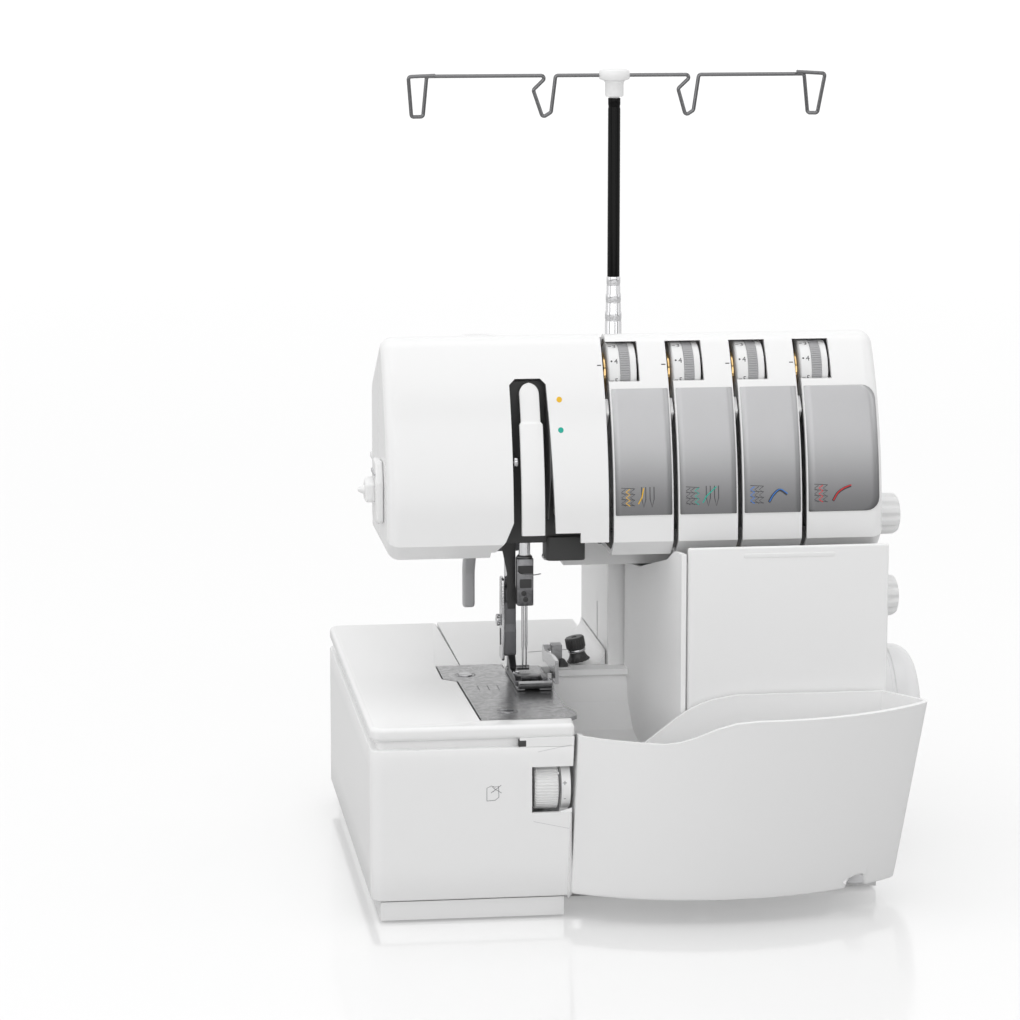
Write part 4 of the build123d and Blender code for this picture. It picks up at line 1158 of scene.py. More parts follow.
    def _thread_cutter(self) -> None:
        """Thread cutter on the left end: a rounded plate with a finger that holds the thread."""
        plate = rounded([(66, 203), (92, 203), (92, 226), (88, 237), (72, 237), (66, 226)], 4.0, 7)
        back = slab("cutter_plate", plate, Axis.X, -94.2, -90.1, 1.4, 4)
        finger = rounded([(73, 214), (85, 214), (85, 224), (79, 228), (73, 224)], 2.0)
        nose = slab("cutter_finger", finger, Axis.X, -99.5, -93.6, 1.9, 4)
        beak = lathe("cutter_beak", [(-103.2, 0), (-102.9, 0.8), (-101.5, 1.7), (-99.0, 2.7), (-94.0, 4.2),
                (-94.0, 0)], Axis.X, (79.0, 220.5), 24)
        dress(joined("thread_cutter_body", [back, nose, beak]), SHELL, "machine",
              ["thread_cutter"])
        edge = slab("cutter_blade", oblong((70, 229), (88, 231), 0.4), Axis.X, -95.0, -94.0, 0.1)
        dress(edge, STEEL, "machine")

    def _under_head(self) -> None:
        """Lamp with its lens, a black strip of painted shade for the gap under the tension panels, and the
        screws there.
        """
        box = Box.of("lamp")
        low, high = box.low, box.high
        shell = oblong((low[0], low[1]), (high[0], high[1]), 2.5)
        dress(slab("lamp_housing", shell, Axis.Z, low[2], high[2], 0.8), BLACK, "machine",
              ["lamp"])
        lens = oblong((low[0] + 3, low[1] + 3), (high[0] - 3, high[1] - 3), 1.5)
        dress(slab("lamp_lens", lens, Axis.Z, low[2] - 0.6, low[2] + 0.4, 0.3), DIAL, "machine")
        # Black strip of painted shade: the dark gap under the tension panels.
        lip = oblong((31, 96), (179, 99), 0.6)
        dress(slab("panel_gap_painted_shade", lip, Axis.Z, 184.6, 186.1, 0.3), BLACK, "machine")
        for i, x in enumerate((38.0, 62.0, 96.0)):
            screw = lathe(f"panel_screw_{i + 1}", [(182.4, 0), (182.4, 1.8), (183, 2.3), (186.2, 2.3),
                    (186.2, 0)], Axis.Z, (x, 92.0), 20)
            dress(screw, DARK, "machine")


# ---------------------------------------------------------------- table and bed
@dataclass
class Table:
    """Slide-on table: a rounded top slab over a skirt, with a groove round its left part and a window
    at the right of its front."""

    corner: float = 7.0
    groove: Pair = (94.0, 98.5)
    groove_depth: float = 4.0
    groove_end: float = -24.9
    window: tuple[float, float, float] = (-18.4, 58.0, 83.0)
    right_edge: Pair = (0.6, 4.5)

    def build(self) -> None:
        """Makes the slab, the skirt, a black patch of painted shade at the groove's end, and the picture."""
        box = Box.of("slide_on_table")
        self.left, self.back = box.low[0], box.high[1]
        self.low, self.top = box.low[2], box.high[2]
        parts = [self._slab(), self._skirt()]
        for part in parts:
            dress(part, SHELL, "table")
        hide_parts("slide_on_table")
        # Black patch of painted shade: the dark gap at the groove's end.
        stop = oblong((-25.5, 94.2), (-21.5, 97.6), 0.3)
        dress(slab("groove_end_painted_shade", stop, Axis.Y, -0.02, 3.9, 0.1), BLACK, "table")
        self._picture()

    def _slab(self) -> bpy.types.Object:
        """Top slab, whose outer rim is rounder than the rim round the arm."""
        corners = [(4.4, 0.0), (self.left, 0.0), (self.left, self.back), (-39.5, self.back), (-39.5, 152.6),
                   (-53.3, 152.6), (-53.3, 117.3), (-45.9, 109.9), (-44.3, 13.4), (4.4, 13.4)]
        radii = [2.6, self.corner, self.corner, 2.6, 0.6, 0.5, 0.5, 0.5, 0.5, 0.5]
        outline = rounded(corners, radii, 9)
        outer = (outline[:, 1] < 8) | (outline[:, 0] < self.left + 8) | (outline[:, 1] > self.back - 8)
        return slab("table_top", outline, Axis.Z, self.groove[1], self.top, np.where(outer, 2.4, 0.5), 5)

    def _skirt(self) -> bpy.types.Object:
        """Skirt: a wall section carried round the front, left and back. Its foot is rounded in, and above
        the groove's foot it steps in by the groove's depth where there is a groove."""
        r = self.corner
        turn = np.linspace(0, math.pi / 2, 9)
        front = np.array([4.4, 3.0, -3.0, -12.0, self.window[0], self.groove_end + 0.02,
                          self.groove_end - 0.02, -30, -60, self.left + r + 6])
        plan = [np.stack([front, 0 * front], 1),
                np.stack([self.left + r - r * np.sin(turn), r - r * np.cos(turn)], 1),
                np.stack([np.full(8, self.left), np.linspace(14, self.back - 14, 8)], 1),
                np.stack([self.left + r - r * np.cos(turn), self.back - r + r * np.sin(turn)], 1),
                np.array([(x, self.back) for x in (-85.0, -60.0, -39.5)])]
        path = np.concatenate(plan)
        way = unit(np.gradient(path, axis=0))
        inward = np.stack([way[:, 1], -way[:, 0]], 1)
        inward[: len(front)] = (0.0, 1.0)
        depth = np.where((path[:, 1] < 1) & (path[:, 0] > self.groove_end), 0.0, self.groove_depth)
        low, foot, high = self.low, self.groove[0], self.groove[1]
        section = [(low, 1.2), (low + 0.4, 0.4), (low + 1.4, 0.0), (30, 0), (self.window[1], 0), (70, 0),
                   (self.window[2], 0), (foot - 0.8, 0.0), (foot - 0.2, 0.25), (foot, 0.8)]
        rows = [path + inward * offset for _, offset in section]
        levels = [z for z, _ in section]
        rows += [path + inward * depth[:, None] * 0.999, path + inward * depth[:, None]]
        levels += [foot + 0.05, high + 0.6]
        lean = (self.right_edge[1] - self.right_edge[0]) / (self.top - low)
        grid = []
        for row, z in zip(rows, levels):
            row = row.copy()
            row[0, 0] = self.right_edge[1] - lean * (self.top - z)
            grid.append(np.column_stack([row, np.full(len(row), z)]))
        points = np.stack(grid)
        faces = quads(len(rows), len(path))
        middle = points.reshape(-1, 3)[faces].mean(1)
        hole = ((middle[:, 0] > self.window[0]) & (middle[:, 1] < 1) & (middle[:, 2] > self.window[1])
                & (middle[:, 2] < self.window[2]))
        skirt = new_piece("table_skirt", points.reshape(-1, 3), faces[~hole])
        face_out(skirt, (-1.0, -0.5, 0.0))
        return thicken(skirt, 2.4, 0.35)

    def _picture(self) -> None:
        """Scissors-and-cloth picture on the front, and two grey lines beside the window, painted shade of two
        fine creases.
        """
        def put(u: np.ndarray, v: np.ndarray) -> np.ndarray:
            """Flat points on the table's front."""
            return np.stack([-39.5 + u, 0 * u - 0.03, 69.9 + v], -1)
        cloth = [(-3, -4.5), (-3, 2.5), (-0.5, 3.6), (1.2, 2.9), (3.2, 3.4), (3.4, -2.6), (1.5, -4.2),
                 (-3, -4.5)]
        blades = [[(0.2, 0.4), (4.6, 3.9)], [(0.8, 2.2), (4.8, -0.4)], [(-0.8, -0.2), (0.6, 0.8)],
                  [(0.0, 3.0), (1.2, 1.8)]]
        section = flat(0.32, 0.05)
        lines = []
        for i, line in enumerate([cloth, *blades]):
            u, v = np.array(line, float).T
            lines.append(carried(f"table_line_{i}", put(u, v), section, up=FRONT))
        dress(joined("table_picture", lines), PALE_INK, "table")
        # Grey lines of painted shade along the two creases.
        creases = [carried(f"window_crease_{i}", np.array([(a, -0.02, b), (c, -0.02, d)]), section * 0.8,
                           up=FRONT) for i, (a, b, c, d) in enumerate(((-15.3, 91.2, 2.6, 94.6),
                           (-17.6, 53.4, 1.6, 49.0)))]
        dress(joined("window_creases", creases), GREY_PRINT_AND_SHADE, "table")


@dataclass
class Bed:
    """Cutting-width dial, the stitch plate's marks and the knife knob."""

    dial: Pair = (13.6, 70.5)
    dial_radius: float = 13.2
    knob_foot: Point = (28.5, 151.0, 107.4)
    knob_tilt: float = 11.0

    def build(self) -> None:
        """Makes the bed's pieces."""
        self._width_dial()
        self._plate_marks()
        self._knob()

    def _width_dial(self) -> None:
        """Ribbed thumb wheel on its shaft, and the plus and minus signs on the arm beside it."""
        r = self.dial_radius
        ribs = [(-16.6, 0), (-16.6, r - 1.2), (-16.2, r - 0.5), (-15.6, r), (-4.4, r), (-4.0, r - 0.5),
                (-4.0, 0)]
        wheel = lathe("width_wheel", ribs, Axis.X, self.dial, 288,
                      lambda turn, row: 1 - 0.04 * (np.cos(48 * turn) > 0.45) * ((row > 1) & (row < 6)))
        dress(wheel, DIAL, "width_dial", ["cutting_width_dial"])
        shaft = lathe("width_shaft", [(-30, 0), (-30, 2.4), (-29.6, 2.8), (-16, 2.8), (-16, 0)], Axis.X,
                      self.dial, 32)
        dress(shaft, STEEL, "width_dial")
        signs = []
        for i, (text, height) in enumerate((("+", 73.8), ("-", 65.2))):
            def put(u: np.ndarray, v: np.ndarray, z: float = height) -> np.ndarray:
                """Flat points on the arm's face beside the wheel."""
                return np.stack([-0.8 + u, 0 * u + 0.36, z + v], -1)
            signs.append(letter(f"sign_{i}", text, 3.4, put))
        dress(joined("width_signs", signs), PALE_INK, "machine")

    def _plate_marks(self) -> None:
        """Seam-width lines and the turn arrows beside the plate's screws."""
        top = Box.of("stitch_plate").high[2]
        lines = []
        for i, x in enumerate((-36.0, -30.5, -25.0)):
            path = np.array([(x, 86.0, top), (x, 92.0, top), (x, 98.0, top)])
            lines.append(carried(f"seam_line_{i}", path, flat(0.3, 0.04)))
        for j, (x, y) in enumerate(((-39.4, 126.4), (-27.6, 32.7))):
            turn = np.linspace(math.radians(200), math.radians(520), 24)
            path = np.stack([x + 5.6 * np.cos(turn), y + 5.6 * np.sin(turn), 0 * turn + top], -1)
            lines.append(carried(f"turn_arrow_{j}", path, flat(0.44, 0.04)))
        dress(joined("plate_marks", lines), INK, "machine")

    def _knob(self) -> None:
        """Knurled black knob with a bright band and a toothed skirt, tilted to the left, and the stop
        beside it."""
        tilt = math.radians(self.knob_tilt)
        profile = [(0.05, 0), (0.05, 6.5), (0.6, 6.6), (1.6, 5.6), (3.0, 4.9), (4.6, 4.4), (5.4, 4.4),
                   (5.6, 4.9), (6.6, 4.9), (6.8, 4.4), (7.4, 5.2), (8.0, 5.55), (13.2, 5.55), (13.9, 4.9),
                   (13.9, 1.6), (13.3, 1.4), (13.3, 0)]

        def knurl(turn: np.ndarray, row: np.ndarray) -> np.ndarray:
            """Teeth on the skirt and flutes on the cap."""
            skirt = 0.06 * (np.cos(16 * turn) > 0) * (row < 4) * (row > 0)
            return 1 - skirt - 0.05 * (np.cos(20 * turn) > 0.1) * ((row > 10) & (row < 13))
        knob = lathe("knob_body", profile, Axis.Z, (0.0, 0.0), 160, knurl)
        band = lathe("knob_band", [(5.4, 4.45), (5.4, 5.0), (5.7, 5.15), (6.5, 5.15), (6.8, 5.0),
                (6.8, 4.45)], Axis.Z, (0.0, 0.0), 64)
        turn = np.array([[math.cos(tilt), 0, -math.sin(tilt)], [0, 1, 0],
                         [math.sin(tilt), 0, math.cos(tilt)]])
        zero = to_frame(np.zeros(3))
        for piece in (knob, band):
            points = np.empty(len(piece.data.vertices) * 3)
            piece.data.vertices.foreach_get("co", points)
            local = (points.reshape(-1, 3) - zero) / MM
            placed = to_frame(local @ turn.T + np.array(self.knob_foot))
            piece.data.vertices.foreach_set("co", placed.ravel())
            piece.data.update()
        dress(knob, BLACK, "knife_release", ["knife_knob"])
        dress(band, STEEL, "knife_release")
        cone = lathe("knob_stop", [(106.8, 0), (106.8, 4.0), (108.2, 3.7), (111.2, 1.5), (111.8, 0)],
                     Axis.Z, (17.0, 138.0), 32)
        dress(cone, BLACK, "machine")
        rest = oblong((13, 133), (22, 141), 1.6)
        dress(slab("knob_stop_plate", rest, Axis.Z, 106.3, 107.2, 0.3), SHELL, "machine")


# ---------------------------------------------------------------- bin and cover
@dataclass
class WasteBin:
    """Clip-on bin: a bowed front, a leaning right end and a rim that dips at the left."""

    left: Pair = (2.4, 6.6)
    right_front: tuple[Pair, Pair] = ((183.0, 11.0), (197.0, -1.0))
    right_back: Pair = (172.0, 177.0)
    bow: Pair = (-26.0, -39.3)
    notch_x: float = 155.6
    notch: float = 6.2
    levels: int = 12
    side_rim: Pair = (100.0, 84.0)

    def build(self) -> None:
        """Makes the shell, and the catch behind the notch in grey, painted shade for the notch's dark inside.
        """
        box = Box.of("waste_bin")
        self.low, self.top, self.back = box.low[2], box.high[2], box.high[1]
        dress(self._shell(), BIN, "bin", ["waste_bin"])
        arch = oblong((151.0, self.low + 1.4), (160.0, 20.0), 1.0)
        # The catch is grey: painted shade for the dark inside of the notch.
        inner = slab("bin_catch", arch, Axis.Y, -7.0, -4.0, 0.4)
        dress(inner, GREY_PRINT_AND_SHADE, "bin")

    def _plan(self, share: float) -> np.ndarray:
        """Plan at a share of the height: each corner goes straight from its low to its high place, and the
        front is the circle through its two ends and the bow."""
        def between(pair: tuple) -> np.ndarray:
            """A low and a high value mixed by the share of the height."""
            return np.asarray(pair[0]) * (1 - share) + np.asarray(pair[1]) * share
        left, right = between(self.left), between(self.right_front)
        back_x, bow = between(self.right_back), between(self.bow)
        a, b = np.array([left, -3.0]), right
        chord, middle = b - a, (a + b) / 2
        sag = float(middle[1] - bow)
        span = float(np.linalg.norm(chord))
        radius = (span**2 / 4 + sag**2) / (2 * sag)
        half = math.asin(span / 2 / radius)
        normal = np.array([chord[1], -chord[0]]) / span
        centre = middle - normal * (radius - sag)
        t = np.linspace(-half, half, 180)[:, None]
        arc = centre + radius * (np.cos(t) * normal + np.sin(t) * chord / span)
        corner = rounded([tuple(arc[-10]), tuple(b), (back_x, self.back), (left, self.back), tuple(a),
                          tuple(arc[9])], [0, 7, 3, 2.0, 2.0, 0], 7)
        fixed = corner[1:-1]
        stretch = []
        for p, q in zip(fixed[:-1], fixed[1:]):
            count = max(1, int(np.linalg.norm(q - p) / 6))
            stretch.append(p + (q - p) * np.linspace(0, 1, count, endpoint=False)[:, None])
        return np.concatenate([arc[10:-10], *stretch, fixed[-1:]])

    def _rim(self, plan: np.ndarray) -> np.ndarray:
        """Height of the rim: a smooth step from the dip to the full height, lower at the rear wall."""
        x = plan[:, 0]
        front = np.interp(x, [0, 20, 48, 56, 64, 74, 84, 96, 200],
                          [100, 99.6, 99.6, 101, 104.0, 108.6, 111.8, 113, 113])
        rear = np.interp(x, [0, 30, 46, 56, 68, 80, 96, 200], [84, 84.4, 87, 95, 104.5, 110.2, 113, 113])
        level = np.where(plan[:, 1] > self.back - 3.5, rear, front)
        beside = (x < 10) & (plan[:, 1] > 0)
        high, low = self.side_rim
        return np.where(beside, high - (high - low) * np.clip(plan[:, 1] / self.back, 0, 1) ** 2, level)

    def _shell(self) -> bpy.types.Object:
        """Skin of the bin: at each point of the plan the wall goes from the foot to the rim."""
        outer = [self._plan(share) for share in np.linspace(0, 1, self.levels)]
        count = min(len(p) for p in outer)
        index = [np.round(np.linspace(0, len(p) - 1, count)).astype(int) for p in outer]
        plans = np.stack([p[i] for p, i in zip(outer, index)])
        rim = self._rim(plans[-1])
        rows = []
        foot = plans[0]
        gap = np.abs(foot[:, 0] - self.notch_x)
        arch = np.where((gap < self.notch) & (foot[:, 1] < 0),
                        np.sqrt(np.maximum(self.notch**2 - gap**2, 0)), 0)
        inward = unit(foot.mean(0) - foot)
        for step, z in ((8.0, self.low + 3.2), (3.0, self.low + 3.0)):
            rows.append(np.column_stack([foot + inward * step, np.maximum(z, self.low + arch * 0.9)]))
        for step, z in ((0.9, 0.0), (0.25, 0.35), (0.0, 1.1)):
            rows.append(np.column_stack([foot + inward * step, self.low + z + arch]))
        columns = np.arange(count)
        for share in np.linspace(0.06, 1, 14):
            z = self.low + (rim - self.low) * share
            z = np.maximum(z, self.low + 1.2 + arch)
            place = np.clip((z - self.low) / (self.top - self.low), 0, 1) * (self.levels - 1)
            k = np.minimum(place.astype(int), self.levels - 2)
            part = (place - k)[:, None]
            rows.append(np.column_stack([plans[k, columns] * (1 - part) + plans[k + 1, columns] * part, z]))
        points = np.stack(rows)
        faces = [list(f) for f in quads(len(rows), count, wrap_columns=True)]
        faces.append(list(range(count)))
        shell = new_piece("waste_bin_shell", points.reshape(-1, 3), faces, crease=50.0)
        return thicken(shell, 2.4, 0.7)


@dataclass
class LooperCover:
    """Hinged cover over the loopers: a plate that turns back at its left edge, and two hinge eyes."""

    def build(self) -> None:
        """Makes the cover and its finger lip."""
        box = Box.of("looper_cover")
        low, high = box.low, box.high
        y0, y1 = low[1], low[1] + 3.0
        plate = rounded([(low[0], y1), (low[0], y0), (high[0], y0), (high[0], y1)], [0.4, 2.6, 1.4, 0.4], 7)
        skin = slab("cover_plate", plate, Axis.Z, low[2] + 11.2, high[2], 1.0, 4)
        flange = oblong((low[0], y0 + 2.7), (low[0] + 2.8, 41), [0, 0, 0.8, 0.8])
        parts = [skin, slab("cover_flange", flange, Axis.Z, low[2] + 20, 184, 0.5)]
        spans = ((85.0, 140.9), (159.0, high[0] - 1.5))
        for i, (a, b) in enumerate(spans):
            foot = oblong((a, y0 + 0.02), (b, y1), 0.4)
            parts.append(slab(f"cover_foot_{i}", foot, Axis.Z, low[2], low[2] + 12.5, 0.3))
        for i, x in enumerate((96.0, 130.0)):
            eye = oblong((y0 + 1, 18.4), (42, 26.8), [0.5, 3.6, 3.6, 0.5], 7)
            parts.append(slab(f"cover_eye_{i}", eye, Axis.X, x, x + 8, 0.5))
        dress(joined("looper_cover_shell", parts), SHELL, "cover", ["looper_cover"])
        grip = oblong((100, 187.0), (150, 189.4), 1.1, 6)
        dress(slab("cover_finger_lip", grip, Axis.Y, y0 - 0.25, y0 + 0.6, 0.22), SHELL, "cover")


# ---------------------------------------------------------------- needle and presser
@dataclass
class SewingHead:
    """Needle clamp and needles, presser foot and shank, the parts on the machine round them and the
    lifter."""

    bar: Pair = (-8.3, 108.0)
    clamp: tuple[Pair, Pair] = ((149.3, 176.0), (102.6, 112.6))
    needle_tips: tuple[Pair, Pair] = ((-9.4, 107.0), (-7.2, 109.0))
    screws: tuple[Pair, Pair] = ((-9.3, 156.4), (-8.3, 152.9))
    presser: Pair = (-15.3, 118.5)
    sole: Pair = (106.4, 108.5)

    def build(self) -> None:
        """Makes the pieces from the needle bar to the lifter."""
        self._needle_side()
        self._presser_side()
        self._bracket()
        self._lifter()

    def _needle_side(self) -> None:
        """Clamp with its window and set screws, two needles with scarfs, and the wire thread guide."""
        (low, high), (front, back) = self.clamp
        side = oblong((-13, front), (-3.8, back), [1.2, 1.2, 3.4, 3.4], 6)
        block = slab("clamp_block", side, Axis.Z, low, high, 0.7, 3)
        collar = lathe("clamp_collar", [(high - 1, 0), (high - 1, 4.4), (high + 0.4, 4.4),
                (high + 1.2, 3.6), (high + 1.2, 0)], Axis.Z, self.bar, 40)
        band = oblong((-12.6, 167.4), (-4.2, 172.0), 0.4)
        dress(joined("needle_clamp_block", [block, collar]), CLAMP, "needle_unit",
              ["needle_clamp"])
        dress(slab("clamp_band", band, Axis.Y, front - 0.12, front + 0.4, 0.1), BLACK, "needle_unit")
        # Black patch of painted shade: the dark inside of the clamp's window.
        window = oblong((-11.6, 159.4), (-5.0, 164.4), 0.6)
        dress(slab("clamp_window", window, Axis.Y, front - 0.1, front + 0.5, 0.08), BLACK, "needle_unit")
        for i, (x, z) in enumerate(self.screws):
            screw = lathe(f"set_screw_{i + 1}", [(front - 0.4, 0), (front - 0.2, 0.8), (front - 0.4, 0.95),
                    (front - 0.35, 1.3), (front - 0.1, 1.5), (front + 0.6, 1.5), (front + 0.6, 0)], Axis.Y,
                    (x, z), 20)
            dress(screw, BLACK, "needle_unit")
        profile = [(112.2, 0.0), (112.5, 0.1), (113.5, 0.24), (115.4, 0.42), (117.0, 0.5), (123.2, 0.52),
                   (124.2, 0.62), (126.0, 0.8), (low + 2, 0.8), (low + 2, 0)]
        pair = [lathe(f"needle_{i}", profile, Axis.Z, place, 20) for i, place in enumerate(self.needle_tips)]
        dress(joined("needle_pair", pair), STEEL, "needle_unit", ["needles"])
        guide = wire("needle_thread_guide", [(-13.0, front + 1, 169.4), (-12.2, front - 0.3, 168.0),
                (-9.5, front - 0.5, 166.9), (-5.5, front - 0.6, 166.7), (-2.5, front - 0.8, 167.0),
                (0.2, front - 1.0, 167.5)], 0.32, up=(0.0, 1.0, 0.2))
        dress(guide, STEEL, "needle_unit")
        bar = [(high - 2, 0), (high - 2, 3.15), (high - 1.6, 3.2), (254.6, 3.2), (255.6, 2.6), (256, 0)]
        dress(lathe("needle_bar_rod", bar, Axis.Z, self.bar, 40), CHROME, "needle_unit",
              ["needle_bar"])

    def _presser_side(self) -> None:
        """Shank, screw and foot: a sole with needle slot and turned-up toe, an ankle and a pivot pin."""
        shank = rounded([(112.6, 119), (112.6, 133), (113.6, 137), (113.6, 150.4), (123.2, 150.4),
                         (123.2, 119)], [2, 1.5, 1.5, 2.2, 2.2, 1.6], 5)
        tongue = rounded([(112.2, 116.4), (112.0, 140), (113.4, 163), (123.6, 163), (124, 140),
                          (123.4, 116.4)], [1.6, 2, 2, 2, 2, 1.6])
        block = slab("shank_block", shank, Axis.X, -18.9, -12.2, 0.7)
        dress(slab("shank_tongue", tongue, Axis.X, -20.3, -18.8, 0.4), STEEL, "presser_unit")
        collar = lathe("shank_collar", [(149, 0), (149, 4.2), (150.0, 4.7), (156, 4.7), (157, 4.1),
                (157, 0)], Axis.Z, self.presser, 40)
        dress(joined("presser_shank_body", [block, collar]), DARK, "presser_unit",
              ["presser_shank"])
        # Black patch of painted shade: the dark inside of the shank's slot.
        slot = oblong((116.8, 124.5), (119.6, 134.0), 1.3, 6)
        dress(slab("shank_slot", slot, Axis.X, -20.62, -20.3, 0.08), BLACK, "presser_unit")

        def knurl(turn: np.ndarray, row: np.ndarray) -> np.ndarray:
            """Flutes round the head of the screw."""
            return 1 - 0.07 * (np.cos(18 * turn) > 0) * (row > 2) * (row < 5)
        head = lathe("presser_screw_head", [(-23.2, 0), (-23.2, 1.0), (-22.9, 2.6), (-22.6, 3.3),
                (-21.4, 3.4), (-20.6, 3.0), (-20.6, 0)], Axis.X, (118.4, 138.7), 108, knurl)
        dress(head, STEEL, "presser_unit", ["presser_screw"])
        rod = [(150, 0), (150, 2.9), (150.3, 3.0), (249.5, 3.0), (250, 2.6), (250, 0)]
        dress(lathe("presser_bar_rod", rod, Axis.Z, self.presser, 36), CHROME, "presser_unit",
              ["presser_bar"])
        rails = []
        for name, x0, x1, y0, y1 in (("left", -15.8, -11.2, 80.5, 135.0), ("right", -3.6, 4.0, 80.5, 135.0),
                                     ("rear", -11.4, -3.4, 114.0, 135.0), ("mid", -11.4, -3.4, 88.5, 97.0)):
            line = oblong((x0, y0), (x1, y1), 0.7)
            rails.append(slab(f"sole_{name}", line, Axis.Z, *self.sole, 0.35))
        toe_path = smooth_path([(-5.9, 88.5, 107.4), (-5.9, 83.6, 107.5), (-5.9, 80.4, 108.3),
                (-5.9, 78.6, 110.2), (-5.9, 78.9, 112.0)], 6)
        toe_section = oblong((-9.6, -0.9), (9.6, 0.9), 0.8, 4)
        toe = carried("sole_toe", toe_path, toe_section)
        dress(joined("presser_sole", [*rails, toe]), PLATE, "presser_unit", ["presser_foot"])
        ankle = rounded([(84, 108.4), (84, 111.2), (88, 113), (108, 113.2), (113.4, 119.4), (121, 119.4),
                         (121, 112), (118, 108.4)], [0.8, 1.2, 1.2, 1.5, 1.2, 1.2, 1, 1])
        parts = [slab("ankle_left", ankle, Axis.X, -16.6, -12.6, 0.5)]
        bridge = oblong((-12.8, 98.0), (3.4, 105.2), 1.5)
        parts.append(slab("ankle_bridge", bridge, Axis.Z, 108.4, 110.4, 0.4))
        parts.append(lathe("ankle_pin", [(-17.4, 0), (-17.2, 1.3), (-4.6, 1.4), (-4.4, 0)], Axis.X,
                           (116.5, 111.6), 24))
        parts.append(slab("ankle_finger", oblong((-1.4, 84), (1.8, 97), 0.8), Axis.Z, 108.4, 112.4, 0.6))
        dress(joined("presser_ankle", parts), CLAMP, "presser_unit")
        toe_screw = lathe("toe_screw", [(112.2, 0), (112.2, 1.5), (112.6, 1.9), (113.6, 1.9), (113.9, 1.5),
                (113.9, 0)], Axis.Z, (-14.4, 96.0), 20)
        dress(toe_screw, STEEL, "presser_unit")

    def _bracket(self) -> None:
        """Curved black bracket beside the presser bar with its web, the column's return wall, two panel
        seams, the spring round the bar and the thread hook."""
        curve = rounded([(-22, 188), (-19.4, 176), (-17.4, 166), (-17.1, 146), (-12.6, 146), (-12.6, 188)],
                        [0.5, 6, 9, 0.6, 0.6, 0.5])
        dress(slab("bar_bracket", curve, Axis.Y, 112.75, 113.5, 0.2), BLACK, "machine")
        corner = oblong((43.6, 92.5), (54.6, 187), 0.5)
        dress(slab("column_return", corner, Axis.Y, 139.0, 142.0, 0.4), SHELL, "machine")
        seam = circle(0.22, 6)
        seams = [carried("bed_seam", np.array([(3.7, 182.8, 106.0), (20, 186.1, 106.0),
                (37.9, 189.7, 106.0)]), seam), carried("wall_seam",
                smooth_path([(43.5, 200, 105.4), (43.5, 184, 110.5), (43.5, 179.5, 115.0),
                (43.5, 179.6, 125.0), (43.5, 180.0, 135.6)]), seam)]
        dress(joined("panel_seams", seams), PALE_INK, "machine")
        web = oblong((-27, 176), (-8, 190), [3, 2, 0.5, 0.5])
        dress(slab("bracket_web", web, Axis.Y, 126.5, 128.5, 0.4), DARK, "machine")
        turn = np.linspace(0, 2 * math.pi * 9, 200)
        coil = np.stack([self.presser[0] + 4.3 * np.cos(turn), self.presser[1] + 4.3 * np.sin(turn),
                         190 + 9.0 * turn / turn[-1]], -1)
        dress(carried("presser_spring", coil, circle(0.55, 8)), STEEL, "machine")
        hook = wire("head_thread_hook", [(8, 100, 186.5), (8, 99, 181), (5.4, 98, 177.2), (1.8, 98, 176.4),
                (0.6, 98.4, 178.6), (3.2, 99, 179.8)], 0.6, up=(0.0, 1.0, 0.1))
        dress(hook, STEEL, "machine")

    def _lifter(self) -> None:
        """Grey lever: its side outline with soft edges, and the pin through its boss."""
        side = rounded([(126, 203), (134, 203), (137.6, 188), (149, 170), (153, 164), (153, 140),
                        (147, 140), (147, 160), (134, 180), (126, 193)], [3, 3, 6, 6, 4, 2.6, 2.6, 5, 6, 4],
                        6)
        lever = slab("lifter_arm", side, Axis.X, -38.0, -31.2, 1.7, 4)
        boss = lathe("lifter_boss", [(-50, 0), (-49.6, 2.5), (-38.2, 2.5), (-38.2, 4.6), (-37.6, 5),
                (-31.4, 5), (-31, 4.6), (-31, 2.5), (-18.8, 2.5), (-18.5, 0)], Axis.X, (130.0, 198.0), 32)
        dress(joined("presser_lifter_lever", [lever, boss]), GREY, "lifter",
              ["presser_lifter"])


